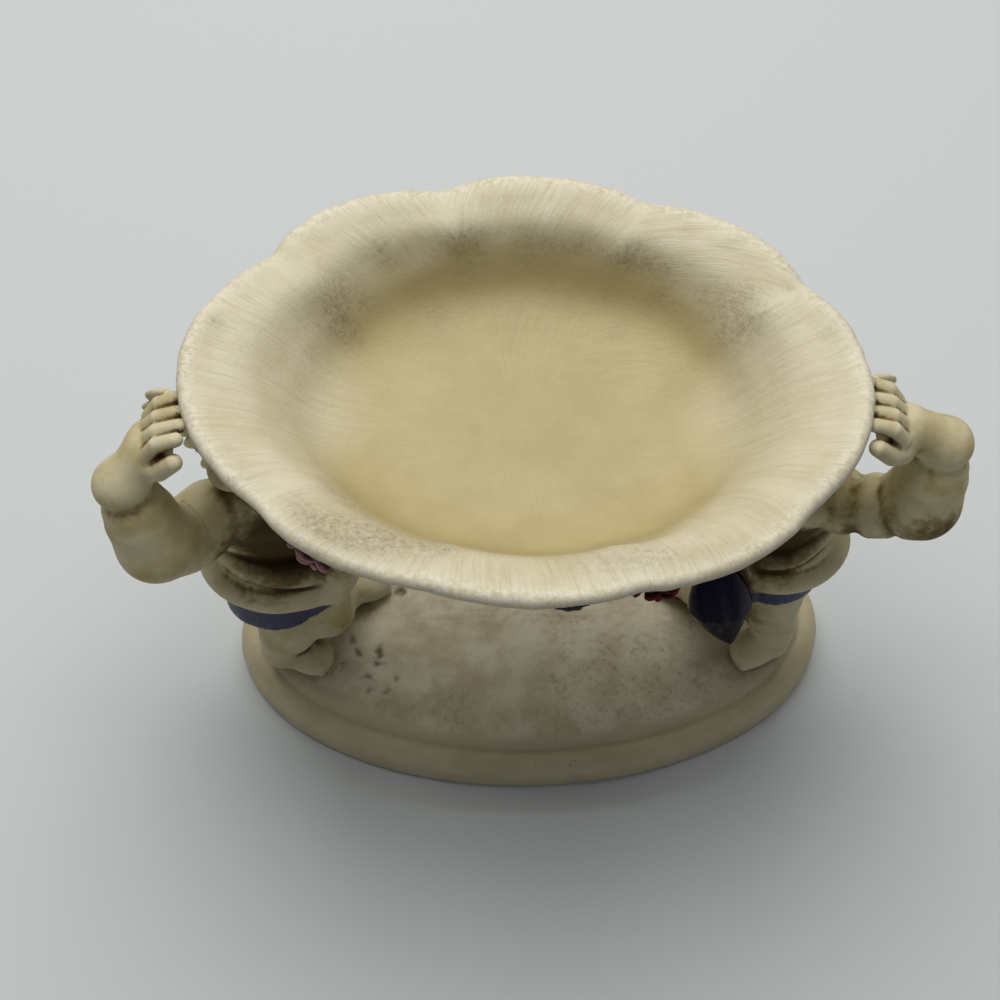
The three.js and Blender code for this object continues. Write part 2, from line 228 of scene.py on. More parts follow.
def thin_out(piece, most):
    """Fewer triangles where the surface is plain, so that the piece stays under the limit."""
    triangles = sum(len(face.vertices) - 2 for face in piece.data.polygons)
    if triangles <= most:
        return
    modifier = piece.modifiers.new("fewer", "DECIMATE")
    modifier.ratio = most / triangles
    graph = bpy.context.evaluated_depsgraph_get()
    thinned = bpy.data.meshes.new_from_object(piece.evaluated_get(graph))
    piece.modifiers.clear()
    old = piece.data
    piece.data = thinned
    bpy.data.meshes.remove(old)
    thinned.name = piece.name
    thinned.polygons.foreach_set("use_smooth", np.ones(len(thinned.polygons), bool))


# Shape of the dish

def lobe_place(angle):
    """Number of the lobe at an angle in radians, and the place along it from 0 to 1."""
    first = LOBE_NOTCHES[0]
    starts = np.array([notch - first for notch in LOBE_NOTCHES] + [360])
    turned = np.mod(np.degrees(angle) - first, 360)
    lobe = np.clip(np.searchsorted(starts, turned, side="right") - 1, 0, len(starts) - 2)
    part = (turned - starts[lobe]) / (starts[lobe + 1] - starts[lobe])
    return lobe, np.clip(part, 0, 1)


def lobe_at(angle):
    """Low at a notch between two lobes, 1 in the middle of a lobe; angle in radians."""
    lobe, part = lobe_place(angle)
    power = LOBE_ROUNDNESS / 2
    lowest, highest = NOTCH_SOFTNESS ** power, (1 + NOTCH_SOFTNESS) ** power
    full = ((np.sin(np.pi * part) ** 2 + NOTCH_SOFTNESS) ** power - lowest) / (highest - lowest)
    depths = np.array(NOTCH_STRENGTH + NOTCH_STRENGTH[:1])
    depth = np.where(part < 0.5, depths[lobe], depths[lobe + 1])
    return 1 - depth * (1 - full)


def from_dish_frame(x, y):
    turn = math.radians(DISH["twist"])
    return (
        x * math.cos(turn) - y * math.sin(turn) + DISH["x"],
        x * math.sin(turn) + y * math.cos(turn) + DISH["y"],
    )


def to_dish_frame(x, y):
    turn = math.radians(-DISH["twist"])
    x, y = x - DISH["x"], y - DISH["y"]
    return x * math.cos(turn) - y * math.sin(turn), x * math.sin(turn) + y * math.cos(turn)


def end_inset(inset, ease):
    """The wall inside is laid back at the two ends: inset along the dish for an inset across it."""
    return inset * (1 + ease * smooth_step(4, 14, inset))


def inset_at(x, y, ease=0.0):
    """How far in from the rim's oval a point lies, in the dish's own frame, by halving."""
    low = np.full(np.shape(x), -40.0)
    high = np.full(np.shape(x), DISH["half_depth"] - 0.5)
    for _ in range(22):
        middle = (low + high) / 2
        half_length = DISH["half_length"] - end_inset(middle, ease)
        outside = (x / half_length) ** 2 + (y / (DISH["half_depth"] - middle)) ** 2 > 1
        high = np.where(outside, middle, high)
        low = np.where(outside, low, middle)
    return (low + high) / 2


def dish_heights(x, y):
    """Inset from the rim and heights of the dish's under and upper side above points x, y."""
    px, py = to_dish_frame(x, y)
    inset = inset_at(px, py)
    laid_back = inset_at(px, py, DISH["end_ease"])
    angle = np.arctan2(py / (DISH["half_depth"] - inset), px / (DISH["half_length"] - inset))
    notch = 1 - lobe_at(angle)
    below_rim = notch * np.clip(1.3 - inset / 14, 0, 1)
    inset, laid_back = inset - NOTCH_DEPTH * below_rim, laid_back - NOTCH_DEPTH * below_rim
    under = sorted(DISH_UNDER)
    inside = sorted(DISH_LIP[1:] + DISH_INSIDE)
    low = np.interp(inset, [r[0] for r in under], [DISH["rim"] - r[1] for r in under])
    high = np.interp(laid_back, [r[0] for r in inside], [DISH["rim"] - r[1] for r in inside])
    return inset, low - CREASE_DEPTH * below_rim, high - CREASE_DEPTH * below_rim


def on_wall(angle, inset, z):
    """A point on the dish's wall, angle in degrees."""
    a = math.radians(angle)
    x, y = from_dish_frame(
        (DISH["half_length"] - inset) * math.cos(a),
        (DISH["half_depth"] - inset) * math.sin(a),
    )
    return vector(x, y, z)


# Clay: a block of signed distances that forms are added to and cut from

class Clay:
    def __init__(self, low, high):
        self.low = np.array(low, float)
        counts = np.ceil((np.array(high) - self.low) / CELL).astype(int) + 1
        self.field = np.full(counts, FAR, np.float32)
        self.navy = np.zeros(counts, np.float32)
        self.rose = np.zeros(counts, np.float32)
        self.axes = [
            (self.low[i] + CELL * np.arange(counts[i])).astype(np.float32) for i in range(3)
        ]

    def window(self, low, high):
        shape = np.array(self.field.shape)
        first = np.clip(np.floor((low - self.low) / CELL).astype(int), 0, shape)
        last = np.clip(np.ceil((high - self.low) / CELL).astype(int) + 1, 0, shape)
        cut = tuple(slice(a, b) for a, b in zip(first, last))
        x = self.axes[0][cut[0]][:, None, None]
        y = self.axes[1][cut[1]][None, :, None]
        z = self.axes[2][cut[2]][None, None, :]
        return cut, x, y, z

    def around(self, centre, reach):
        """The part of the block within reach of a point, and the offsets from that point."""
        cut, x, y, z = self.window(centre - reach, centre + reach)
        return cut, x - centre[0], y - centre[1], z - centre[2]

    def merge(self, cut, distance, blend, carve=False, navy=0.0, rose=0.0):
        """Adds a form with its paint, or cuts it away; blend is how softly the two surfaces join."""
        field = self.field[cut]
        if carve:
            share = np.clip(0.5 - 0.5 * (field + distance) / blend, 0, 1)
            self.field[cut] = field * (1 - share) - distance * share + blend * share * (1 - share)
            return
        share = np.clip(0.5 + 0.5 * (field - distance) / blend, 0, 1)
        self.field[cut] = field * (1 - share) + distance * share - blend * share * (1 - share)
        sharp = np.clip(0.5 + 1.6 * (share - 0.5), 0, 1)
        self.navy[cut] = self.navy[cut] * (1 - sharp) + navy * sharp
        self.rose[cut] = self.rose[cut] * (1 - sharp) + rose * sharp

    def ball(self, centre, radii, blend=1.0, turn=None, **kind):
        """An ellipsoid; turn holds its own axes as rows, kind is as for merge."""
        centre = np.array(centre, float)
        radii = np.array(radii, float)
        cut, dx, dy, dz = self.around(centre, radii.max() + FAR * 0.6 + blend)
        own = (dx, dy, dz) if turn is None else turned(dx, dy, dz, turn)
        scaled = [own[i] / radii[i] for i in range(3)]
        near = np.sqrt(scaled[0] ** 2 + scaled[1] ** 2 + scaled[2] ** 2)
        steep = np.sqrt(sum((scaled[i] / radii[i]) ** 2 for i in range(3))) + 1e-6
        self.merge(cut, near * (near - 1) / steep, blend, **kind)

    def limb(self, points, radii, blend=1.0, **kind):
        """A round limb along points, with its own radius at each of them; kind is as for merge."""
        points = np.array(points, float)
        radii = np.array(radii, float)
        reach = radii.max() + FAR * 0.6 + blend
        cut, x, y, z = self.window(points.min(0) - reach, points.max(0) + reach)
        best = None
        for i in range(len(points) - 1):
            start, run = points[i], points[i + 1] - points[i]
            square = float(run @ run) + 1e-9
            dx, dy, dz = x - start[0], y - start[1], z - start[2]
            t = np.clip((dx * run[0] + dy * run[1] + dz * run[2]) / square, 0, 1)
            gap = np.sqrt((dx - t * run[0]) ** 2 + (dy - t * run[1]) ** 2 + (dz - t * run[2]) ** 2)
            gap = gap - (radii[i] + (radii[i + 1] - radii[i]) * t)
            best = gap if best is None else np.minimum(best, gap)
        self.merge(cut, best, blend, **kind)

    def ring_crease(self, centre, axis, radius, width=0.45, blend=1.2):
        """A soft crease cut round a limb, such as the folds at a chubby wrist."""
        cut, dx, dy, dz = self.around(np.array(centre, float), radius + width + blend + 1)
        along, = turned(dx, dy, dz, [unit(np.array(axis, float))])
        across = np.sqrt(np.maximum(dx * dx + dy * dy + dz * dz - along * along, 0))
        self.merge(cut, np.sqrt((across - radius) ** 2 + along ** 2) - width, blend, carve=True)

    def sample(self, values, points):
        place = (points - self.low) / CELL
        place = np.clip(place, 0, np.array(values.shape) - 1.001)
        cell = np.floor(place).astype(int)
        return blend_corners(values, cell, place - cell, max(values.shape))

    def normals(self, points, step=0.4):
        field = self.field
        slope = np.column_stack([
            self.sample(field, points + offset) - self.sample(field, points - offset)
            for offset in np.eye(3) * step
        ])
        return slope / (np.linalg.norm(slope, axis=1, keepdims=True) + 1e-9)

    def fired(self, name, stains_and_shade=()):
        """The clay as a piece, with values at its points for painted shade with brown antiquing, hollows,
        edges and paint.
        """
        grid = openvdb.FloatGrid(FAR)
        grid.copyFromArray(self.field)
        points, quads = grid.convertToQuads(0.0)
        points = points * CELL + self.low
        piece = make_piece(name, points, quads[:, ::-1].tolist())
        thin_out(piece, MOST_TRIANGLES)
        self.paint_values(piece, stains_and_shade)
        return piece

    def paint_values(self, piece, stains_and_shade):
        points = points_of(piece)
        normals = self.normals(points)
        # Darker where clay closes round the surface: brown antiquing in the hollows, and painted shade.
        shade_and_stain = np.zeros(len(points))
        for step, weight in ((0.8, 0.30), (1.6, 0.28), (2.8, 0.24), (4.5, 0.18)):
            open_to = self.sample(self.field, points + normals * step)
            shade_and_stain += weight * np.clip(1 - open_to / min(step, FAR), 0, 1)
        # Painted shade under the dish and just above the plinth.
        inset, under, _ = dish_heights(points[:, 0], points[:, 1])
        shade_under_dish = np.where(inset > -1, np.exp(-np.clip(under - points[:, 2], 0, None) / 3.0), 0)
        shade_above_plinth = np.exp(-np.clip(points[:, 2] - PLINTH["top"], 0, None) / 1.5)
        bend = np.zeros(len(points))
        for offset in np.vstack([np.eye(3), -np.eye(3)]) * 0.7:
            bend += self.sample(self.field, points + offset)
        bend -= 6 * self.sample(self.field, points)
        shade_and_stain = shade_and_stain + 0.5 * shade_under_dish + 0.6 * shade_above_plinth
        # The listed spots are darkened further: brown staining and painted shade.
        for spot, size, strength in stains_and_shade:
            shade_and_stain = shade_and_stain + strength * np.exp(-(np.linalg.norm(points - spot, axis=1) / size) ** 2)
        found = {
            "hollow": -bend * 1.2, "edge": bend * 1.2 - 0.15,
            "navy": self.sample(self.navy, points), "rose": self.sample(self.rose, points),
        }
        set_values(piece, "shade_and_stain", np.clip(shade_and_stain, 0, 1.2))
        for name, values in found.items():
            set_values(piece, name, np.clip(values, 0, 1))


# Brown staining and painted shade in deep places of the figures, such as the belly under the dish and the
# underside of the right arm: (out, front, up), size in mm, strength
STAINS_AND_SHADE = {
    "left": [
        ((49, 8, 62), 10, 1.5), ((46, 8, 69), 7, 1.2), ((42, 8, 60), 6, 0.6),
        ((66.5, 13, 74), 2.2, 0.45), ((60, 11, 67), 4, 0.5), ((51, 14.5, 50), 5, 0.35),
        ((58, 13.5, 51), 4, 0.3), ((38, 9, 24), 3, 0.5),
    ],
    "right": [
        ((51, 7.5, 59), 9, 1.3), ((58, 7, 62), 5, 0.5), ((66, 8, 66), 4, 0.45), ((80, 13, 74), 4, 0.3),
        ((62, 11.5, 52), 4, 0.3), ((49, 12, 22), 4, 0.3), ((77, 13, 73), 8, 0.7), ((66, 11, 66), 5, 0.5),
        ((84, 9, 78), 5, 0.35),
    ],
}


# Figures are laid out as (out, front, up): out from the middle of the dish, to the front, height

def placer(side):
    def place(out, front, up):
        return vector(side * out + GROUP_SHIFT, -front, up)
    return place


def spots(place, points):
    return [place(*p) for p in points]


def legs(clay, place, pose):
    leg, heel = pose["leg"], pose["heel"]
    radii = np.interp(np.linspace(0, 4, 12), range(5), pose["leg_radii"])
    clay.limb(spots(place, curve_through(leg, 12)), radii, 2.0)
    clay.limb(spots(place, INNER_LEG["thigh"]), (9.0, 7.6, 6.0), 2.0)
    clay.ball(place(*INNER_LEG["knee"]), (5.6, 4.8, 5.8), 2.0)
    clay.limb(spots(place, INNER_LEG["shin"]), (5.8, 5.4, 4.3), 1.8)
    clay.ring_crease(place(heel[0], heel[1] - 0.4, 19.2), (0, 0.1, 1), 6.0, 0.4, 2.4)
    clay.ring_crease(place(40.6, -2.0, 19.0), (0.2, 0, 1), 5.5, 0.4, 2.4)
    foot(clay, place, heel, pose["ball"], 4.3)
    foot(clay, place, INNER_LEG["heel"], INNER_LEG["ball"], 4.2)


def foot(clay, place, heel, ball, width):
    """A stubby bare foot: sole, instep and five small toes side by side."""
    heel_at, ball_at = place(*heel), place(*ball)
    ahead = ball_at - heel_at
    ahead[2] = 0
    ahead = unit(ahead)
    beside = np.cross(ahead, (0, 0, 1))
    inward = beside if beside[0] * np.sign(-place(1, 0, 0)[0] - 0.001) > 0 else -beside
    middle = (heel_at + ball_at) / 2 + vector(0, 0, 0.5)
    clay.limb([heel_at, middle, ball_at - vector(0, 0, 0.4)], (width * 0.95, width * 0.86, width * 0.7), 1.8)
    clay.ball(ball_at, (width * 1.02, width * 0.98, width * 0.66), 2.0)
    for toe in range(5):
        spread = (2 - toe) * width * 0.3
        radius = width * (0.31 - 0.025 * toe)
        forward = width * 0.74 * math.sqrt(1 - (spread / width) ** 2)
        toe_at = ball_at + ahead * forward + inward * spread
        toe_at[2] = PLINTH["top"] + radius * 0.9
        clay.limb([toe_at - ahead * 1.6, toe_at], (radius, radius), 0.55)


def torso(clay, place):
    out = BODY_OUT
    clay.ball(place(out, -0.8, 57), (13.0, 7.6, 11.4), 2.0)
    clay.ball(place(out, 0.4, 68), (12.2, 7.6, 10.0), 3.5)
    for side in (-1, 1):
        clay.ball(place(out + side * 5.0, 4.4, 69.4), (5.2, 3.6, 4.2), 2.8)
        clay.ball(place(out + side * 5.6, -5.4, 50), (7.4, 6.4, 7.6), 2.0)
    spine = [(out, -8.8, 75), (out, -8.8, 64), (out, -10.0, 56)]
    clay.limb(spots(place, spine), (0.6, 0.8, 0.5), 2.2, carve=True)
    clay.limb(spots(place, [(out, 0, 72), (HEAD["out"], -4, 81)]), (6.0, 5.4), 2.0)


def arms(clay, place, pose):
    def between(a, b, part):
        return tuple(mix(a[i], b[i], part) for i in range(3))

    arm, wrist, hand = pose["arm"], pose["wrist"], pose["hand"]
    points = curve_through(arm, 9)
    radii = np.interp(np.linspace(0, 1, 9), (0, 0.5, 1), pose["arm_radii"])
    clay.limb(spots(place, points), radii, 0.8)
    elbow = arm[-1]
    clay.limb(spots(place, [elbow, between(elbow, wrist, 0.42), wrist]), (7.6, 7.2, 5.2), 1.8)
    clay.limb(spots(place, [wrist, between(wrist, hand, 0.55)]), (5.2, 4.0), 1.6)
    toward = place(*wrist) - place(*elbow)
    clay.ring_crease(place(*between(elbow, wrist, 0.86)), toward, 6.1, 0.5, 2.6)
    for part, width in pose["folds"]:
        k = int(part * 8)
        way = place(*points[k + 1]) - place(*points[k])
        clay.ring_crease(place(*points[k]), way, radii[k] + 0.3, width, 2.0)
    outer_hand(clay, place, hand)
    clay.limb(spots(place, INNER_ARM), (7.0, 6.8, 6.2), 1.0)
    clay.limb(spots(place, INNER_FOREARM), (6.2, 5.9, 4.4), 1.6)
    clay.ring_crease(place(32.5, 0.6, 82.2), place(32, 0, 84) - place(35, 3, 75.5), 4.9, 0.4, 1.1)
    inner_hand(clay, place)


def fingers(clay, knuckles, tips, radius, bend=(0, 0, 0)):
    for knuckle, tip in zip(knuckles, tips):
        middle = (knuckle + tip) / 2 + np.array(bend)
        clay.limb([knuckle, middle, tip], (radius, radius * 0.95, radius * 0.82), 0.45)


# Fingers from the little one to the first: place across the hand in mm
OUTER_FINGERS = (-4.2, -1.4, 1.4, 4.2)
INNER_FINGERS = (-3.9, -1.4, 1.1, 3.6)


def outer_hand(clay, place, hand):
    """Holds the end of the dish from outside, its fingers laid up against the rim."""
    out, front, up = hand
    clay.ball(place(out + 4.0, front + 1.0, up - 5.6), (4.4, 5.6, 4.6), 2.0)
    knuckles = [place(out + 4.6 - 0.06 * o * o, front + 0.6 + o, up - 2.6) for o in OUTER_FINGERS]
    tips = [place(out - 3.0 + 0.04 * o * o, front + o * 1.06, up + 2.5) for o in OUTER_FINGERS]
    fingers(clay, knuckles, tips, 1.65, bend=place(0.8, 0, 1.0) - place(0, 0, 0))
    thumb = [(4.2, 5.2, -6.4), (1.6, 7.2, -4.0), (-1.6, 7.6, -0.4)]
    clay.limb([place(out + a, front + b, up + c) for a, b, c in thumb], (2.3, 2.0, 1.7), 0.9)


def inner_hand(clay, place):
    """Lies flat against the dish's underside."""
    clay.ball(place(30.8, -1, 85.4), (5.2, 5.2, 2.5), 1.2)
    knuckles = [place(28.4, -1 + o, 85.7) for o in INNER_FINGERS]
    tips = [place(23.8 + abs(o + 0.4) * 0.35, -1 + o * 1.25, 86.2) for o in INNER_FINGERS]
    fingers(clay, knuckles, tips, 1.35)
    clay.limb([place(32, 3.4, 85), place(29.4, 6.0, 85.8), place(27.4, 6.8, 86.3)], (1.7, 1.5, 1.2), 0.6)


def head(clay, place, pose):
    def at(out, front, up):
        return place(HEAD["out"] + out, HEAD["front"] + front, HEAD["up"] + up)

    clay.ball(at(0, -0.6, 0.6), (9.3, 9.9, 10.2), 1.0)
    clay.ball(at(0, 3.6, -4.6), (6.6, 5.4, 5.2), 2.5)
    clay.ball(at(0, 4.6, 3.4), (7.0, 4.8, 5.0), 2.5)
    for side in (-1, 1):
        clay.ball(at(side * 4.2, 5.4, -3.2), (3.9, 3.7, 3.7), 2.0)
        clay.ball(at(side * 3.4, 9.7, 0.5), (1.9, 1.5, 1.2), 1.5, carve=True)
        clay.ball(at(side * 3.5, 7.9, 0.3), (1.9, 1.6, 1.5), 0.4)
        lid = [at(side * 1.9, 8.9, -0.3), at(side * 3.5, 9.6, -0.8), at(side * 5.1, 8.6, -0.3)]
        clay.limb(lid, (0.2, 0.3, 0.2), 0.3, carve=True)
        brow = [at(side * 1.5, 9.0, 2.1), at(side * 3.6, 8.9, 2.8), at(side * 5.8, 7.4, 2.2)]
        clay.limb(brow, (0.5, 0.6, 0.4), 1.3)
        clay.ball(at(side * 0.95, 9.8, -2.0), (0.75, 0.75, 0.65), 0.6)
        clay.ball(at(side * 0.8, 9.5, -4.0), (1.15, 0.75, 0.45), 0.35)
        clay.ball(at(side * 9.1, -0.6, -1.0), (1.2, 2.1, 2.8), 0.8)
        clay.ball(at(side * 10.2, -0.2, -0.8), (0.9, 1.1, 1.7), 0.6, carve=True)
    clay.limb([at(0, 9.0, 1.4), at(0, 9.8, -0.6), at(0, 10.5, -1.7)], (0.65, 0.75, 0.95), 1.1)
    clay.ball(at(0, 9.0, -3.1), (1.2, 0.7, 0.9), 1.0)
    clay.ball(at(0, 9.4, -5.0), (1.35, 0.8, 0.5), 0.4)
    mouth = [(-2.1, 9.5, -4.3), (-1.0, 10.05, -4.6), (0, 10.2, -4.5), (1.0, 10.05, -4.6), (2.1, 9.5, -4.3)]
    clay.limb([at(*p) for p in mouth], (0.25, 0.38, 0.38, 0.38, 0.25), 0.25, carve=True)
    clay.ball(at(0, 7.6, -6.9), (2.5, 2.3, 2.0), 1.5)
    hair(clay, at, pose)


def hair(clay, at, pose):
    """Rows of curls over the crown, sides and back of the head."""
    chance = np.random.default_rng(pose["seed"])
    centre = at(0, -1.4, 1.2)
    side = pose["side"]
    cap = HEAD["hair"] - 0.4
    clay.ball(at(0, -2.4, 1.6), (cap * 0.99, cap * 0.96, cap * 1.02), 1.0)
    count = HEAD["curls"]
    golden = math.pi * (3 - math.sqrt(5))
    for i in range(count):
        up = 1 - 1.62 * (i + 0.5) / count
        around = math.sqrt(max(0, 1 - up * up))
        front = around * math.cos(golden * i)
        out = around * math.sin(golden * i)
        on_face = front > 0.42 and up < 0.62 - 0.25 * abs(out)
        if on_face or (front > 0.1 and up < -0.1):
            continue
        outward = unit(vector(side * out, -front, up))
        surface = centre + outward * (HEAD["hair"] - 0.5)
        curl(clay, surface, outward, chance)


def curl(clay, surface, outward, chance):
    across = unit(np.cross(outward, (0.3, 0.2, 1)))
    along = np.cross(outward, across)
    size = chance.uniform(1.7, 2.3)
    start = chance.uniform(0, 2 * math.pi)
    hand = chance.choice([-1, 1])
    turns = 1.45
    steps = 12
    points, radii = [], []
    for step in range(steps + 1):
        part = step / steps
        angle = start + hand * part * turns * 2 * math.pi
        radius = size * (1 - part) ** 0.8 + 0.15
        lift = 0.1 + 1.1 * part
        round_way = across * math.cos(angle) + along * math.sin(angle)
        points.append(surface + outward * lift + round_way * radius)
        radii.append(mix(0.95, 0.55, part))
    clay.limb(points, radii, 0.4)


def skirt(clay, place, pose):
    """A short navy skirt round both legs, folded behind, open a little way up inside its hem."""
    middle = place(*pose["skirt"], 0)
    half_width, half_depth = pose["skirt_half"]
    hem_height = pose["hem"]
    low = vector(middle[0] - 20, middle[1] - 16, hem_height - 3)
    high = vector(middle[0] + 20, middle[1] + 22, CLOTH["waist"] + 3)
    cut, x, y, z = clay.window(low, high)
    dx, dy = x - middle[0], (y - middle[1]) * half_width / half_depth
    angle = np.arctan2(dy, dx)
    drop = np.clip((CLOTH["waist"] - z) / (CLOTH["waist"] - hem_height), 0, 1)
    fold = 0.7 * np.cos(CLOTH["folds"] * angle) + 0.3 * np.cos(CLOTH["folds"] * 1.5 * angle + 1.3)
    behind = smooth_step(-0.6, 0.5, np.sin(angle))
    radius = half_width + CLOTH["flare"] * (1 - drop)
    wave = CLOTH["fold"] * fold * drop ** 0.7 * (0.1 + 0.9 * behind)
    body = np.sqrt(dx * dx + dy * dy) - radius
    for out, front, reach in SKIRT_BACK:
        at = place(out, front, 0)
        across = np.sqrt((x - at[0]) ** 2 + (y - at[1]) ** 2)
        body = np.minimum(body, across - reach - CLOTH["flare"] * (1 - drop))
    body = body - wave
    inner = pose["skirt"][0] - pose["side"] * (x - GROUP_SHIFT)
    hem = hem_height + 0.5 * behind * np.sin(3 * angle + 0.6) + CLOTH["hem_rise"] * smooth_step(4, 13, inner)
    shell = np.where(z > hem + 3, body, np.maximum(np.abs(body + 1.6) - 1.6, body)) * 0.85
    distance = np.maximum(np.maximum(shell, hem - z), z - CLOTH["waist"])
    # navy=0.8 gives the skirt the greyer navy: painted light where the band catches the light, and wear.
    clay.merge(cut, distance.astype(np.float32), 0.35, navy=0.8)


# Strands of the cloth roll: distance out and up from its middle line, thickness, start of its waves
ROLL_STRANDS = [(-2.0, 0.4, 3.6, 0.0), (0.6, -2.3, 4.1, 0.8), (-1.2, 3.4, 2.9, 2.4)]


def roll(clay, place, pose):
    """The thick roll of cloth round the hips: strands laid round an oval, higher at the outer hip."""
    tilt = math.radians(ROLL["tilt"])
    hips = place(*pose["roll"], ROLL["height"])
    half_width, half_depth = pose["roll_half"]
    side = pose["side"]
    count = 56
    for outward, upward, thick, start in ROLL_STRANDS:
        points, radii = [], []
        for step in range(count + 1):
            angle = 2 * math.pi * step / count
            wave = 0.35 * math.sin(2 * angle + start)
            out = (half_width + outward + wave) * math.cos(angle)
            front = (half_depth + outward + wave) * math.sin(angle)
            climb = pose["rise"] * max(upward, 0) / 3.0 * smooth_step(0.0, 1.0, math.cos(angle))
            up = upward + 0.4 * math.sin(3 * angle + start) + out * math.tan(tilt) + climb
            points.append(hips + vector(side * out, -front, up))
            radii.append(thick * (1 + 0.08 * math.sin(2 * angle + start + 1)))
        clay.limb(points, radii, 0.6)
    inner = pose["roll"][0] - half_width
    drape = [(inner + out, front, up) for out, front, up in DRAPE]
    thick = np.interp(np.arange(12), (0, 3, 6, 11), (4.3, 4.1, 3.6, 2.6))
    clay.limb(spots(place, curve_through(drape, 12)), thick, 1.6)


def cloth_tail(clay, place):
    """The end of the navy cloth that hangs from the hip, round above and pointed below."""
    centre = place(*TAIL["centre"])
    turn = np.array(Matrix.Rotation(math.radians(-TAIL["lean"]), 3, "Y").transposed())
    cut, dx, dy, dz = clay.around(centre, TAIL["half_height"] + 3)
    own = turned(dx, dy, dz, turn)
    high = np.clip(own[2] / TAIL["half_height"], -1.0, 1.0)
    aside = own[0] - TAIL["tip"] * np.clip(-high, 0, 1) ** 2
    above = np.sqrt(np.clip(1 - high ** 2, 0, 1)) * (1 - 0.15 * high ** 2)
    left = np.clip(1 - np.abs(high), 0, 1)
    pleat = 0.25 * np.cos(own[0] * 1.6 + own[2] * 0.08) * smooth_step(-0.7, 0.0, high)
    wide = TAIL["half_width"] * np.where(high < 0, left ** 0.75, above) + 0.05
    deep = (TAIL["half_depth"] + pleat) * np.where(high < 0, left, above) + 0.05
    near = np.sqrt((aside / wide) ** 2 + (own[1] / deep) ** 2)
    distance = np.maximum((near - 1) * deep, np.abs(own[2]) - TAIL["half_height"])
    clay.merge(cut, distance.astype(np.float32), 0.4, navy=1.0)


def wing(clay, place, outward, out):
    """A small wing swept back: a rounded leading edge over rows of feathers."""
    root = place(out, WING["root_front"], WING["root_up"])
    spread = math.radians(WING["spread"])
    aside = vector(outward * math.cos(spread), math.sin(spread), 0)
    up = vector(0, 0, 1)
    behind = np.cross(aside, up) * outward
    behind = behind if behind[1] > 0 else -behind

    def at(u, v, w=0.0):
        return root + aside * u + up * v + behind * w

    edge = curve_through(WING_EDGE, 12)
    clay.limb([at(u, v) for u, v in edge], np.linspace(2.3, 1.1, len(edge)), 1.0)
    for row in FEATHERS:
        for i in range(row["count"]):
            part = row["start"] + (1 - row["start"]) * i / (row["count"] - 1)
            u, v = edge[min(int(part * (len(edge) - 1)), len(edge) - 1)]
            heading = math.radians(mix(-78, -38, part))
            length = row["long"] * mix(0.86, 0.72, part)
            ahead = aside * math.cos(heading) + up * math.sin(heading)
            turn = (ahead, np.cross(behind, ahead), behind)
            centre = at(u, v - 0.6, row["layer"] * 0.6) + ahead * length * 0.5
            clay.ball(centre, (length * 0.56, row["wide"], row["thick"]), 0.25, turn=turn)
            start = centre - ahead * length * 0.3 + behind * row["thick"]
            end = centre + ahead * length * 0.42 + behind * row["thick"] * 0.7
            clay.limb([start, end], (0.16, 0.12), 0.2, carve=True)


def clear_dish(clay):
    """Takes away whatever would stand in the hollow of the dish."""
    x = clay.axes[0][:, None]
    y = clay.axes[1][None, :]
    inset, _, upper = dish_heights(x, y)
    floor = np.where(inset > 0.6, upper - 1.2, 200.0).astype(np.float32)
    room = (floor[:, :, None] - clay.axes[2][None, None, :]) * 0.8
    clay.field = np.maximum(clay.field, -room)


def cherub(name):
    pose = FIGURES[name]
    side = pose["side"]
    place = placer(side)
    block = FIGURE_BLOCK
    ends = sorted(side * block[end] + GROUP_SHIFT for end in ("inner", "outer"))
    clay = Clay((ends[0], -block["front"], block["low"]), (ends[1], block["back"], block["high"]))
    torso(clay, place)
    legs(clay, place, pose)
    skirt(clay, place, pose)
    roll(clay, place, pose)
    arms(clay, place, pose)
    head(clay, place, pose)
    wing(clay, place, side, BODY_OUT + WING["aside"])
    wing(clay, place, -side, BODY_OUT - WING["aside"])
    if pose["cloth_tail"]:
        cloth_tail(clay, place)
    clear_dish(clay)
    stains_and_shade = [(place(*spot), size, strength) for spot, size, strength in STAINS_AND_SHADE[name]]
    return clay.fired("cherub_" + name, stains_and_shade)


# Swags moulded on the wall under the rim

# Rings of petals: how many, how far out, how high and how wide, as parts of the rose's size
PETALS = [(6, 0.86, 0.05, 0.52), (5, 0.56, 0.42, 0.44), (3, 0.26, 0.66, 0.32)]


def rose(clay, centre, outward, size, paint):
    """A rose: a tight heart and three rings of overlapping petals."""
    across = unit(np.cross(outward, (0, 0, 1)))
    along = np.cross(across, outward)
    clay.ball(centre - outward * size * 0.5, (size * 0.9,) * 3, 0.5, rose=paint)
    for ring, (count, reach, rise, wide) in enumerate(PETALS):
        for i in range(count):
            angle = 2 * math.pi * (i + 0.37 * ring) / count
            way = across * math.cos(angle) + along * math.sin(angle)
            round_way = np.cross(outward, way)
            lean = unit(way * 0.75 + outward * 0.65)
            face = np.cross(round_way, lean)
            middle = centre + way * size * reach + outward * size * rise
            radii = (size * wide, size * wide * 1.1, size * 0.17)
            clay.ball(middle, radii, 0.15, turn=(lean, round_way, face), rose=paint)


def swag_strand(clay, middle, rose_at, strand):
    """One of the three strands of cloth that are twisted together from the knot out to a rose."""
    points, radii = [], []
    for part in np.linspace(0, 1, 14):
        dip = SWAG["dip"] * math.sin(math.pi * part)
        twist = strand * 2.1 + part * 5
        swell = 1 + 0.5 * math.sin(math.pi * part)
        points.append(on_wall(
            middle + part * rose_at["angle"],
            SWAG["inset"] + dip * 0.9 - 0.9 * swell * math.cos(twist),
            SWAG["height"] - dip + 1.2 * swell * math.sin(twist),
        ))
        radii.append(SWAG["radius"] * 0.62 * swell)
    clay.limb(points, radii, 0.35, navy=1.0)


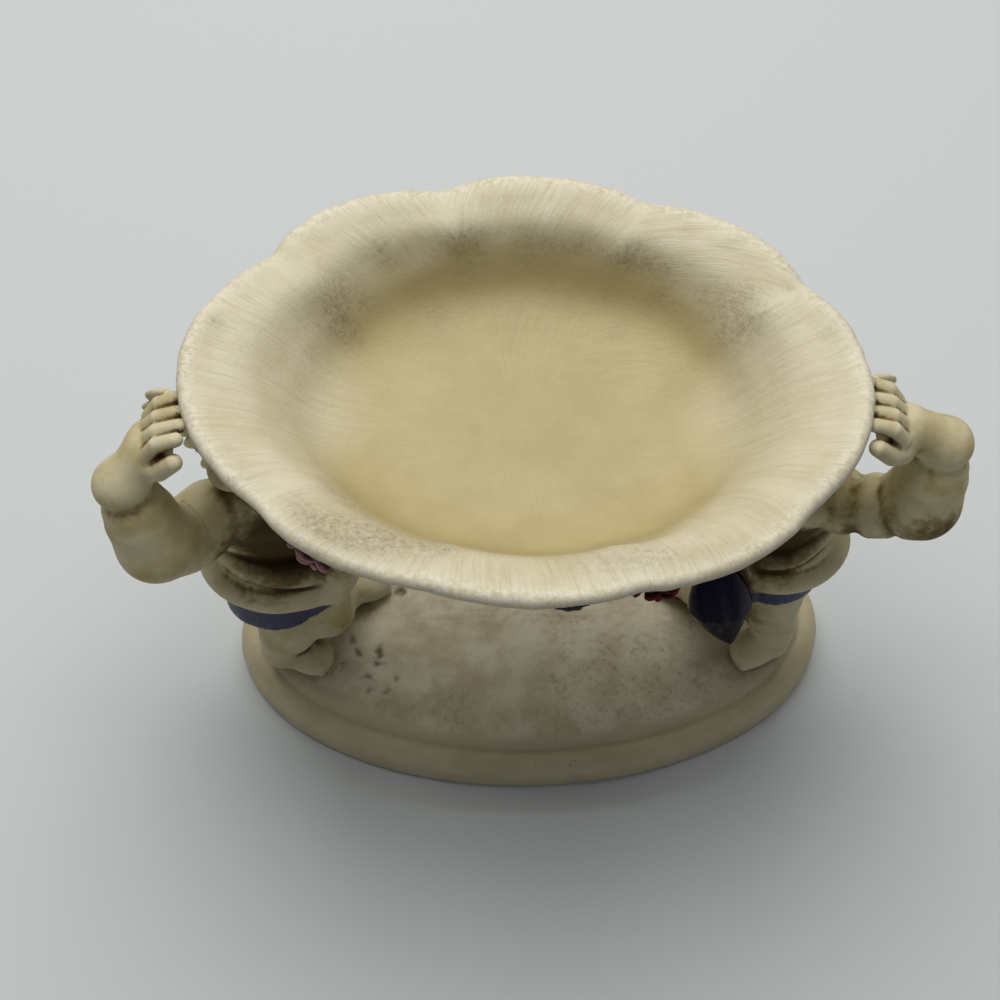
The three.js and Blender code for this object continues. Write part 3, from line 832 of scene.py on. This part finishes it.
def swag(name, middle, paints):
    ends = [middle + rose_at["angle"] * 1.3 for rose_at in ROSES]
    edges = [on_wall(angle, inset, 0) for angle in np.linspace(*ends, 9) for inset in (0, 24)]
    low, high = np.min(edges, axis=0), np.max(edges, axis=0)
    clay = Clay((low[0] - 2, low[1] - 4, 79), (high[0] + 2, high[1] + 4, 107))
    for rose_at, paint in zip(ROSES, paints):
        for strand in range(3):
            swag_strand(clay, middle, rose_at, strand)
        angle = middle + rose_at["angle"]
        centre = on_wall(angle, rose_at["inset"], rose_at["height"])
        outward = unit(on_wall(angle, 0, 0) - on_wall(angle, 10, 0) + vector(0, 0, -5))
        rose(clay, centre, outward, rose_at["radius"], paint)
        for leaf in (-1, 1):
            tip = on_wall(angle + leaf * 9.5, rose_at["inset"] + 6.0, rose_at["height"] - 4.4)
            root = on_wall(angle + leaf * 4.0, rose_at["inset"] + 3.6, rose_at["height"] - 3.2)
            clay.limb([root, (root + tip) / 2, tip], (1.2, 1.7, 0.4), 0.3)
    swag_knot(clay, middle)
    clear_dish(clay)
    return clay.fired(name)


def swag_knot(clay, middle):
    """The knot in the middle of a swag, with grooves where the cloth is gathered."""
    knot = on_wall(middle + KNOT["angle"], KNOT["inset"], KNOT["height"])
    outward = unit(on_wall(middle + KNOT["angle"], 0, 0) - on_wall(middle + KNOT["angle"], 10, 0))
    across = np.cross(outward, (0, 0, 1))
    radii = (KNOT["half_width"], KNOT["half_depth"], KNOT["half_height"])
    clay.ball(knot, radii, 0.6, turn=(across, outward, (0, 0, 1)), navy=1.0)
    for groove in (-2, -1, 0, 1, 2):
        foot_at = knot + across * groove * 2.3 - vector(0, 0, 6) + outward * (4.2 - 0.5 * abs(groove))
        top = knot + across * groove * 1.2 + vector(0, 0, 4) + outward * (4.8 - 0.3 * abs(groove))
        clay.limb([foot_at, top], (0.4, 0.3), 0.7, carve=True)


# Dish and plinth: rings of points round an axis

def ring_faces(rows, segments):
    """Quads between rings of points, closed by a point below the first ring and above the last."""
    faces = []
    index = np.arange(segments)
    following = np.roll(index, -1)
    for row in range(rows - 1):
        low, high = row * segments, (row + 1) * segments
        quads = np.column_stack([low + index, low + following, high + following, high + index])
        faces.extend(quads.tolist())
    first, last = rows * segments, rows * segments + 1
    faces.extend([[first, int(b), int(a)] for a, b in zip(index, following)])
    top = (rows - 1) * segments
    faces.extend([[last, int(top + a), int(top + b)] for a, b in zip(index, following)])
    return faces


def ring_values(piece, name, values, below=0, above=0):
    """Gives a piece made of rings a value for each point, and for the two points that close it."""
    set_values(piece, name, np.append(values.ravel(), [below, above]))


def near_angle(angle, where):
    """How far an angle in radians is from one in degrees, in degrees either way."""
    return np.mod(np.degrees(angle) - where + 180, 360) - 180


def ring_normals(grid):
    """Outward normals of a grid of rings: rows by segments by 3."""
    round_way = np.roll(grid, -1, axis=1) - np.roll(grid, 1, axis=1)
    up_way = np.gradient(grid, axis=0)
    normal = np.cross(round_way, up_way)
    return normal / (np.linalg.norm(normal, axis=2, keepdims=True) + 1e-9)


def dish():
    segments = DISH["segments"]
    row_count = 118
    profile = curve_through(DISH_UNDER + DISH_LIP + DISH_INSIDE, row_count)
    inset, drop, lobes = (profile[:, i][:, None] for i in range(3))
    lobes = np.clip(lobes, 0, 1)
    angle = (np.arange(segments) / segments * 2 * np.pi)[None, :]
    notch = (1 - lobe_at(angle)) * lobes
    row = np.arange(row_count)[:, None]
    crest = int(np.argmin(profile[:, 1]))
    ease = np.where(row > crest, DISH["end_ease"], 0.0)
    x = (DISH["half_length"] - end_inset(inset, ease)) * np.cos(angle)
    y = (DISH["half_depth"] - inset) * np.sin(angle)
    inward = 1 - notch * NOTCH_DEPTH / np.hypot(x, y)
    x, y = from_dish_frame(x * inward, y * inward)
    z = DISH["rim"] - drop - notch * CREASE_DEPTH * np.exp(-((inset - 1.0) / 5.0) ** 2)
    grid = np.stack([x, y, z], axis=2)
    normal = ring_normals(grid)
    flat = grid.reshape(-1, 3)
    rim_part = np.exp(-((inset - 3.0) / 5.5) ** 2) + 0 * angle
    waves = noise(flat, 9, 3) - 0.5 + 0.5 * (noise(flat, 4, 4) - 0.5)
    lip = noise(flat * vector(1, 1, 0.4), 2.2, 5) - 0.5
    relief = 0.45 * waves.reshape(z.shape) * (0.35 + rim_part)
    relief += 0.22 * lip.reshape(z.shape) * np.exp(-(inset / 1.4) ** 2)
    grid = grid + normal * relief[:, :, None]
    bottom = vector(DISH["x"], DISH["y"], DISH["under"])
    floor = vector(DISH["x"], DISH["y"], DISH["floor"])
    points = np.vstack([grid.reshape(-1, 3), bottom, floor])
    piece = make_piece("dish", points, ring_faces(row_count, segments))
    dish_values(piece, profile, angle, flat)
    return piece


def dish_values(piece, profile, angle, flat):
    """Values for the dish's paint: profile rows by angles, flat being the points before their relief."""
    inset, drop, lobes = (profile[:, i][:, None] for i in range(3))
    lobes = np.clip(lobes, 0, 1)
    row = np.arange(len(profile))[:, None]
    crest = int(np.argmin(profile[:, 1]))
    steps = np.linalg.norm(np.diff(profile[:, :2], axis=0), axis=1)
    along = np.concatenate([[0], np.cumsum(steps)])[:, None] + 0 * angle
    strokes = brush_strokes(angle, along)
    set_values(piece, "brush", np.vstack([strokes, np.zeros((2, 3))]))
    ragged = (noise(flat, 5, 6).reshape(along.shape) - 0.5) * 1.6
    edge_at = 10.6 + 1.8 * lobe_at(angle) + ragged + band_shift(angle)
    soft = 1 + 4.5 * np.cos(angle) ** 4
    above = row > crest
    ring_values(piece, "inner", smooth_step(-1.1, 1.6, (inset - edge_at) / soft) * above, 0, 1)
    outside = (row < crest) * smooth_step(0.5, 2.2, drop) + 0 * angle
    ring_values(piece, "outside", outside, 1, 0)
    # Painted shade on the steep wall inside, strongest at the front and back.
    steep = np.exp(-((inset - 14.5) / 3.0) ** 2)
    ring_values(piece, "wall", steep * above * (0.05 + 0.38 * np.sin(angle) ** 2))
    ring_values(piece, "lip", np.exp(-((inset - 1.0) / 2.0) ** 2) * (row > crest - 6) + 0 * angle)
    ring_values(piece, "grime", dish_grime(flat, angle, inset, edge_at, outside))
    ring_values(piece, "valley", (1 - lobe_at(angle)) * lobes)
    part = lobe_place(angle)[1]
    ring_values(piece, "seam", np.exp(-(np.minimum(part, 1 - part) * 45 / 1.1) ** 2) + 0 * along)


# Where the pale band of the rim is wider: angle and reach in degrees, by how much in mm
BAND_SHIFTS = [(180, 32, 7.0), (0, 30, 5.5)]


def band_shift(angle):
    total = 0 * angle
    for where, reach, by in BAND_SHIFTS:
        total = total + by * np.exp(-(near_angle(angle, where) / reach) ** 2)
    return total


# Slant of the brush strokes on each lobe, in degrees away from straight in and out
STROKE_SLANTS = [12, -8, 6, -14, 68, 22, -18, 10]


def brush_strokes(angle, along):
    """Places across and along the brush strokes, in mm, each lobe brushed its own way."""
    lobe, part = lobe_place(angle)
    starts = np.array(LOBE_NOTCHES + [LOBE_NOTCHES[0] + 360])
    round_way = (part - 0.5) * np.radians(starts[lobe + 1] - starts[lobe]) * 54
    slant = np.radians(np.array(STROKE_SLANTS))[lobe]
    across = round_way * np.cos(slant) - along * np.sin(slant)
    down = round_way * np.sin(slant) + along * np.cos(slant)
    return np.stack([across, down * 0.05, lobe * 7.3 + 0 * along], axis=2).reshape(-1, 3)


# Dirty places inside the dish, and darker patches along the front left of the rim: angle in degrees,
# distance in from the rim, size in mm, strength
DISH_GRIME = [
    (106, 11.2, 3.6, 0.9), (92, 12.2, 3, 0.4), (67, 10.5, 3, 0.7), (126, 10.5, 2.4, 0.7),
    (144, 12.1, 4, 0.7), (150, 15, 4, 0.8), (138, 14.5, 3, 0.5), (55, 13.5, 3, 0.5),
    (46, 12.5, 3.5, 0.4), (38, 10, 4, 0.7), (30, 11.5, 4, 0.7), (168, 4, 2.2, 0.7),
    (-69, 6, 3, 0.4), (-104, 9, 3, 0.3), (-55, 3, 6, 0.3), (20, 4, 3, 0.3), (34, 3, 2, 0.6),
    (120, 20, 3, 0.25), (60, 22, 3, 0.25), (-121, 6.6, 5.5, 1.0), (-127, 5.2, 4, 0.8),
    (-115, 8, 5, 0.9), (-106, 9, 4, 0.6), (-64, 7, 4, 0.6), (-75, 8, 4, 0.4), (-134, 6, 3, 0.5),
]


def dish_grime(flat, angle, inset, edge_at, outside):
    grime = 0 * (angle + inset)
    for where, depth, size, strength in DISH_GRIME:
        across = np.radians(near_angle(angle, where)) * DISH["half_depth"]
        grime = grime + strength * np.exp(-((across / size) ** 2 + ((inset - depth) / (size * 0.8)) ** 2))
    patches = smooth_step(0.45, 0.75, noise(flat, 7, 8).reshape(grime.shape))
    border = 0.55 * patches * np.exp(-((inset - edge_at) / 1.3) ** 2)
    return np.clip(grime + border, 0, 1) * (1 - outside)


def plinth():
    segments = PLINTH["segments"]
    side_rows, top_rows = 64, 44
    side = curve_through(PLINTH_MOULDING, side_rows)
    last_inset, last_z = side[-1]
    middle = PLINTH["half_depth"] - 1.2
    top = np.column_stack([
        np.linspace(last_inset, middle, top_rows + 1)[1:],
        np.linspace(last_z, PLINTH["top"], top_rows + 1)[1:],
    ])
    profile = np.vstack([side, top])
    row_count = len(profile)
    inset, height = profile[:, 0][:, None], profile[:, 1][:, None]
    angle = (np.arange(segments) / segments * 2 * np.pi)[None, :]
    x = (PLINTH["half_length"] - inset) * np.cos(angle)
    y = (PLINTH["half_depth"] - inset) * np.sin(angle)
    grid = np.stack([x, y, height + 0 * angle], axis=2)
    normal = ring_normals(grid)
    flat = grid.reshape(-1, 3)
    broad = noise(flat, 11, 21) - 0.5
    small = noise(flat, 3.2, 22) - 0.5
    relief = (0.55 * broad + 0.22 * small).reshape(grid.shape[:2])
    relief = relief * smooth_step(0.2, 3.0, height)
    pits = plinth_pits(grid)
    grid = grid + normal * (relief - pits)[:, :, None]
    points = np.vstack([grid.reshape(-1, 3), vector(0, 0, 0), vector(0, 0, PLINTH["top"])])
    piece = make_piece("plinth", points, ring_faces(row_count, segments))
    on_top = smooth_step(5.0, 8.5, inset) + 0 * angle
    ring_values(piece, "top", on_top, 0, 1)
    ring_values(piece, "groove", np.exp(-((inset - 4.6) / 1.5) ** 2) + 0 * angle)
    ring_values(piece, "shade_and_stain", plinth_shade_and_stain(grid))
    ring_values(piece, "pit", np.clip(pits * 2.2, 0, 1))
    return piece


# Small pits in the top of the plinth: x, y, size along x and y, depth, all in mm
PITS = [
    (-33.8, -8.6, 0.7, 1.4, 0.9), (-34.0, -11.7, 0.8, 0.6, 0.6), (-38.2, -8.5, 0.6, 0.8, 0.6),
    (-41.8, -11.1, 1.3, 0.3, 0.4), (-36.7, -14.6, 0.9, 0.6, 0.5), (-30.0, -15.0, 0.6, 0.7, 0.5),
    (-32.5, -17.8, 0.8, 0.5, 0.4), (-29.0, 6.2, 0.9, 1.0, 0.9), (56.6, -7.9, 1.5, 1.0, 1.2),
    (-39.8, -5.5, 0.5, 0.8, 0.4), (22.0, -16.2, 0.6, 0.4, 0.3), (-36.0, -17.6, 0.5, 0.9, 0.4),
]


def plinth_pits(grid):
    """How deep each point lies in a pit, in mm."""
    depth = np.zeros(grid.shape[:2])
    flat = grid.reshape(-1, 3)
    warp_x, warp_y = (1.6 * (noise(flat, 0.9, seed) - 0.5).reshape(depth.shape) for seed in (31, 32))
    for x, y, wide, long, deep in PITS:
        away = ((grid[:, :, 0] + warp_x - x) / wide) ** 2 + ((grid[:, :, 1] + warp_y - y) / long) ** 2
        depth = np.maximum(depth, deep * np.exp(-away))
    return depth * smooth_step(9, 12, grid[:, :, 2])


# Places on the plinth where something stands, darkened with painted shade and brown antiquing: middle (out,
# front), size and strength, for both figures
FOOTPRINTS = [(51.5, 7, 7, 0.9), (38, -4, 7, 0.8), (46, 2, 13, 0.5)]


def plinth_shade_and_stain(grid):
    shade = np.zeros(grid.shape[:2])
    for pose in FIGURES.values():
        place = placer(pose["side"])
        for out, front, size, strength in FOOTPRINTS:
            spot = place(out, front, 0)
            away = np.hypot(grid[:, :, 0] - spot[0], grid[:, :, 1] - spot[1]) / size
            shade += strength * np.exp(-away ** 2)
    return np.clip(shade, 0, 1) * smooth_step(9, 12, grid[:, :, 2])


# Paint: node materials

class Paint:
    """A small helper that adds nodes to a material and links them."""

    def __init__(self, name):
        self.material = bpy.data.materials.new(name)
        self.material.use_nodes = True
        self.tree = self.material.node_tree
        self.shader = self.tree.nodes["Principled BSDF"]
        self.place = self.node("ShaderNodeTexCoord", "Object", {})

    def put(self, socket, value):
        if isinstance(value, bpy.types.NodeSocket):
            self.tree.links.new(value, socket)
        else:
            socket.default_value = value

    def node(self, kind, output, inputs, **settings):
        """Adds a node, fills its inputs with numbers or other nodes' outputs, and gives an output."""
        node = self.tree.nodes.new(kind)
        for key, value in settings.items():
            setattr(node, key, value)
        for key, value in inputs.items():
            self.put(node.inputs[key], value)
        return node.outputs[output]

    def value(self, name, output="Fac"):
        """A value that the piece has at its points."""
        return self.node("ShaderNodeAttribute", output, {}, attribute_name=name)

    def maths(self, operation, a, b):
        return self.node("ShaderNodeMath", 0, {0: a, 1: b}, operation=operation)

    def times(self, a, b):
        return self.maths("MULTIPLY", a, b)

    def plus(self, a, b):
        return self.maths("ADD", a, b)

    def grain(self, size, detail=3.0, rough=0.5, where=None):
        """Noise whose bumps are about size mm across, from 0 to 1; where is given in mm."""
        scale = (1 if where else 1 / MM) / size
        inputs = {"Vector": where or self.place, "Scale": scale, "Detail": detail, "Roughness": rough}
        return self.node("ShaderNodeTexNoise", "Fac", inputs)

    def range(self, value, low, high, to_low=0.0, to_high=1.0):
        """A value between low and high, laid smoothly between two others."""
        inputs = {"Value": value, "From Min": low, "From Max": high, "To Min": to_low, "To Max": to_high}
        return self.node("ShaderNodeMapRange", "Result", inputs, interpolation_type="SMOOTHSTEP")

    def blend(self, part, a, b):
        return self.node("ShaderNodeMix", 2, {"Factor": part, 6: a, 7: b}, data_type="RGBA")

    def over(self, base, colour, *parts):
        """A colour laid over another, as strongly as all the parts multiplied together."""
        part = parts[0]
        for more in parts[1:]:
            part = self.times(part, more)
        return self.blend(part, base, colour)

    def bump(self, height, strength, depth, under=None):
        """Relief drawn by the light only, depth in mm, over the normals of another bump."""
        inputs = {"Strength": strength, "Distance": depth * MM, "Height": height}
        if under is not None:
            inputs["Normal"] = under
        return self.node("ShaderNodeBump", "Normal", inputs)

    def finish(self, colour, rough, normal):
        for name, value in (("Base Color", colour), ("Roughness", rough), ("Normal", normal)):
            self.put(self.shader.inputs[name], value)
        return self.material


def tint(red, green, blue):
    """A colour given as it looks on screen, 0 to 255, as linear light."""
    def linear(level):
        part = level / 255
        return part / 12.92 if part <= 0.04045 else ((part + 0.055) / 1.055) ** 2.4
    return (linear(red), linear(green), linear(blue), 1.0)


CREAM = tint(204, 194, 161)
PALE = tint(224, 215, 190)
LIP = tint(226, 219, 198)
RIM_PALE = tint(214, 205, 178)
RIM = tint(200, 190, 157)
KHAKI = tint(182, 167, 120)
BOWL = tint(182, 168, 121)
BOWL_DARK = tint(173, 158, 111)
PLINTH_SIDE = tint(196, 184, 150)
PLINTH_SIDE_DARK = tint(184, 171, 134)
WALL_SHADE = tint(156, 142, 97)
PLINTH_TOP_DARK = tint(182, 169, 136)
STREAK = tint(146, 132, 92)
FILM = tint(128, 116, 84)
TABLE = tint(206, 210, 211)
STAIN_AND_SHADE = tint(102, 80, 42)
DEEP_STAIN_AND_SHADE = tint(44, 29, 10)
SOOT = tint(74, 68, 52)
NAVY = tint(13, 11, 36)
NAVY_SHADE = tint(7, 6, 18)
NAVY_LIT_AND_WORN = tint(78, 78, 98)
NAVY_WORN = tint(120, 120, 150)
PINK = tint(176, 134, 132)
RED = tint(100, 27, 32)


def wash_and_shade_of(paint, mottle, fine):
    """How thick the brown antiquing and the painted shade lie: thick in enclosed and hollow places, and
    uneven.
    """
    wash_and_shade = paint.plus(paint.times(paint.value("shade_and_stain"), 1.05), paint.times(paint.value("hollow"), 0.75))
    wash_and_shade = paint.plus(wash_and_shade, paint.times(paint.maths("SUBTRACT", fine, 0.5), 0.8))
    return paint.plus(wash_and_shade, paint.range(mottle, 0.45, 0.72, 0.0, 0.36))


def stained_and_shaded_cream(paint, mottle, fine, wash_and_shade):
    """Cream under the brown antiquing and painted shade, brushed paler on the edges."""
    base = paint.blend(paint.range(mottle, 0.35, 0.7), CREAM, KHAKI)
    # Brown where the antiquing gathers and painted shade in enclosed places, darkest in the deepest ones.
    base = paint.over(base, STAIN_AND_SHADE, paint.range(wash_and_shade, 0.30, 0.95, 0, 0.85))
    base = paint.over(base, DEEP_STAIN_AND_SHADE, paint.range(wash_and_shade, 0.85, 1.35, 0, 0.7))
    dry = paint.range(paint.value("edge"), 0.05, 0.55)
    return paint.over(base, PALE, dry, paint.range(fine, 0.35, 0.62), 0.6)


def navy_cloth(paint, fine):
    """Navy, greyer on the skirt with painted light and wear, darker with painted shade in enclosed places,
    and worn on the edges.
    """
    # The skirt's greyer navy: painted light on the band, and worn paint.
    navy = paint.blend(paint.range(paint.value("navy"), 0.82, 0.95), NAVY_LIT_AND_WORN, NAVY)
    # Painted shade: darker navy in enclosed places.
    navy = paint.over(navy, NAVY_SHADE, paint.range(paint.value("shade_and_stain"), 0.25, 0.8))
    worn = paint.range(paint.value("edge"), 0.35, 1.0, 0.0, 0.6)
    return paint.over(navy, NAVY_WORN, worn, paint.range(fine, 0.5, 0.75))


def rose_petals(paint, wash_and_shade):
    """Pink or red, by the piece's own value, under the brown antiquing and painted shade."""
    rose = paint.blend(paint.range(paint.value("rose"), 0.75, 0.85), PINK, RED)
    return paint.over(rose, DEEP_STAIN_AND_SHADE, paint.range(wash_and_shade, 0.35, 1.0, 0, 0.8))


def figure_paint():
    paint = Paint("antiqued_and_shaded cream paint")
    mottle, fine = paint.grain(9, 4, 0.6), paint.grain(1.6, 4, 0.65)
    navy, wash_and_shade = paint.value("navy"), wash_and_shade_of(paint, mottle, fine)
    base = stained_and_shaded_cream(paint, mottle, fine, wash_and_shade)
    base = paint.over(base, navy_cloth(paint, fine), paint.range(navy, 0.35, 0.5))
    base = paint.over(base, rose_petals(paint, wash_and_shade), paint.range(paint.value("rose"), 0.2, 0.3))
    rough = paint.plus(paint.range(fine, 0.3, 0.7, 0.42, 0.6), paint.times(navy, -0.26))
    paint.shader.inputs["Specular IOR Level"].default_value = 0.03
    normal = paint.bump(paint.grain(2.6, 3, 0.5), 0.5, 0.18)
    normal = paint.bump(paint.grain(0.5, 3, 0.6), 0.35, 0.05, normal)
    return paint.finish(base, rough, normal)


def dish_dirt(paint, base, mottle, fine):
    """Soot and a thin brown film where the dish is grimy, and small specks all over it."""
    grime, speck = paint.value("grime"), paint.grain(0.42, 3, 0.7)
    marks = paint.times(paint.range(speck, 0.54, 0.66), paint.range(fine, 0.42, 0.6))
    base = paint.over(base, SOOT, grime, marks, 0.8)
    base = paint.over(base, FILM, grime, paint.range(fine, 0.3, 0.7, 0.12, 0.6))
    return paint.over(base, SOOT, paint.range(speck, 0.72, 0.80), paint.range(mottle, 0.45, 0.6), 0.5)


def dish_paint():
    paint = Paint("brushed cream paint")
    brush = paint.value("brush", "Vector")
    streak, broad_streak = paint.grain(0.30, 4, 0.6, where=brush), paint.grain(1.1, 3, 0.6, where=brush)
    mottle, fine = paint.grain(14, 4, 0.6), paint.grain(1.1, 4, 0.7)
    inner = paint.value("inner")
    drawn = paint.maths("SUBTRACT", 1.0, paint.value("seam"))
    rim = paint.blend(paint.range(mottle, 0.3, 0.75), RIM_PALE, RIM)
    rim = paint.over(rim, KHAKI, paint.range(broad_streak, 0.4, 0.75, 0.0, 0.3))
    rim = paint.over(rim, LIP, paint.value("lip"), paint.range(fine, 0.35, 0.6))
    bowl = paint.blend(paint.range(mottle, 0.3, 0.7), BOWL_DARK, BOWL)
    # Painted shade on the steep wall inside the bowl.
    base = paint.over(paint.blend(inner, rim, bowl), WALL_SHADE, paint.value("wall"), 0.5)
    shown = paint.range(inner, 0.2, 1.0, 0.27, 0.1)
    base = paint.over(base, STREAK, paint.range(streak, 0.45, 0.75), shown, drawn)
    # Painted highlight: the rim paler along the notches between the lobes, where they catch the light.
    notch_highlight = paint.range(paint.value("valley"), 0.45, 0.95)
    base = paint.over(base, RIM_PALE, notch_highlight, paint.range(inner, 0.0, 0.9, 0.5, 0.0))
    base = dish_dirt(paint, base, mottle, fine)
    under = paint.blend(paint.range(fine, 0.4, 0.62, 0.12, 0.6), CREAM, STAIN_AND_SHADE)
    base = paint.over(base, under, paint.value("outside"), 0.7)
    scratched = paint.times(streak, paint.range(inner, 0.2, 1.0, 1.0, 0.2))
    normal = paint.bump(paint.times(scratched, drawn), 0.55, 0.13)
    normal = paint.bump(paint.grain(1.2, 4, 0.7), 0.6, 0.17, normal)
    normal = paint.bump(paint.grain(0.45, 3, 0.7), 0.4, 0.06, normal)
    return paint.finish(base, paint.range(streak, 0.3, 0.7, 0.45, 0.62), normal)


def plinth_paint():
    paint = Paint("mottled dirty cream paint")
    mottle, patch = paint.grain(10, 5, 0.65), paint.grain(22, 3, 0.5)
    fine, speck = paint.grain(1.3, 4, 0.7), paint.grain(0.8, 2, 0.6)
    top = paint.value("top")
    side = paint.blend(paint.range(mottle, 0.3, 0.7), PLINTH_SIDE_DARK, PLINTH_SIDE)
    upper = paint.blend(paint.range(mottle, 0.32, 0.68), RIM_PALE, PLINTH_TOP_DARK)
    dirt = paint.times(paint.range(fine, 0.5, 0.72), paint.range(patch, 0.42, 0.62))
    base = paint.over(paint.blend(top, side, upper), SOOT, dirt, top, 0.4)
    # Brown antiquing in the moulding's groove, and painted shade with brown staining round the figures'
    # feet.
    wash_and_shade = paint.plus(paint.times(paint.value("groove"), 0.34), paint.times(paint.value("shade_and_stain"), 0.8))
    wash_and_shade = paint.times(wash_and_shade, paint.range(mottle, 0.2, 0.75, 0.5, 1.15))
    base = paint.over(base, STAIN_AND_SHADE, paint.range(wash_and_shade, 0.1, 1.0, 0, 0.7))
    spots = paint.range(speck, 0.68, 0.75)
    base = paint.over(base, DEEP_STAIN_AND_SHADE, spots, paint.range(patch, 0.38, 0.6), 0.7)
    base = paint.over(base, DEEP_STAIN_AND_SHADE, paint.value("pit"), 0.65)
    normal = paint.bump(paint.grain(3.2, 4, 0.6), 0.5, 0.3)
    normal = paint.bump(fine, 0.35, 0.12, normal)
    return paint.finish(base, paint.range(fine, 0.3, 0.7, 0.42, 0.62), normal)


# Camera, floor and light

# The camera's place in mm, and its own directions
CAMERA = {
    "lens": 72, "sensor": 36, "where": vector(-13.209, -190.067, 419.6),
    "right": vector(0.99965, -0.02624, 0.00372), "up": vector(0.02134, 0.88014, 0.47423),
    "ahead": vector(0.01572, 0.47398, -0.88039),
}
# The window light and the room, in metres and watts
WINDOW = {
    "where": (-0.05, 0.31, 0.93), "target": (0, 0, 0.08), "size": (1.0, 0.8), "power": 9.7,
    "colour": (1.0, 0.985, 0.95),
}
ROOM = {"colour": (0.9, 0.95, 1.0, 1), "strength": 0.16}
FLOOR_HALF = 1.5


def placed(item, right, up, back, where):
    """Stands a camera or a lamp at a place, by its own three directions."""
    rows = [[right[i], up[i], back[i], where[i]] for i in range(3)] + [[0, 0, 0, 1]]
    item.matrix_world = Matrix(rows)
    bpy.context.scene.collection.objects.link(item)


def camera():
    data = bpy.data.cameras.new("camera")
    data.sensor_width = CAMERA["sensor"]
    data.lens = CAMERA["lens"]
    data.clip_start = 0.01
    eye = bpy.data.objects.new("camera", data)
    placed(eye, CAMERA["right"], CAMERA["up"], -CAMERA["ahead"], CAMERA["where"] * MM)
    bpy.context.scene.camera = eye


def floor():
    size = FLOOR_HALF
    corners = [(-size, -size, 0), (size, -size, 0), (size, size, 0), (-size, size, 0)]
    mesh = bpy.data.meshes.new("floor")
    mesh.from_pydata(corners, [], [(0, 1, 2, 3)])
    piece = bpy.data.objects.new("floor", mesh)
    bpy.context.scene.collection.objects.link(piece)
    paint = Paint("pale table")
    paint.put(paint.shader.inputs["Base Color"], TABLE)
    paint.put(paint.shader.inputs["Roughness"], 0.8)
    mesh.materials.append(paint.material)


def window_light():
    data = bpy.data.lights.new("window", "AREA")
    data.shape = "RECTANGLE"
    data.size, data.size_y = WINDOW["size"]
    data.energy = WINDOW["power"]
    data.color = WINDOW["colour"]
    away = unit(np.array(WINDOW["where"]) - np.array(WINDOW["target"]))
    side = unit(np.cross((0, 1, 0.01), away))
    placed(bpy.data.objects.new("window", data), side, np.cross(away, side), away, WINDOW["where"])


def room():
    world = bpy.data.worlds.new("room")
    world.use_nodes = True
    background = world.node_tree.nodes["Background"]
    background.inputs["Color"].default_value = ROOM["colour"]
    background.inputs["Strength"].default_value = ROOM["strength"]
    bpy.context.scene.world = world
    bpy.context.scene.view_settings.view_transform = "Standard"


def finish_piece(piece, material):
    piece.data.materials.append(material)
    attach(piece, "root")
    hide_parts("casting")


camera()
floor()
window_light()
room()
cream = figure_paint()
finish_piece(plinth(), plinth_paint())
finish_piece(dish(), dish_paint())
finish_piece(cherub("left"), cream)
finish_piece(cherub("right"), cream)
finish_piece(swag("swag_front", -90, (0.5, 1.0)), cream)
finish_piece(swag("swag_back", 90, (1.0, 0.5)), cream)
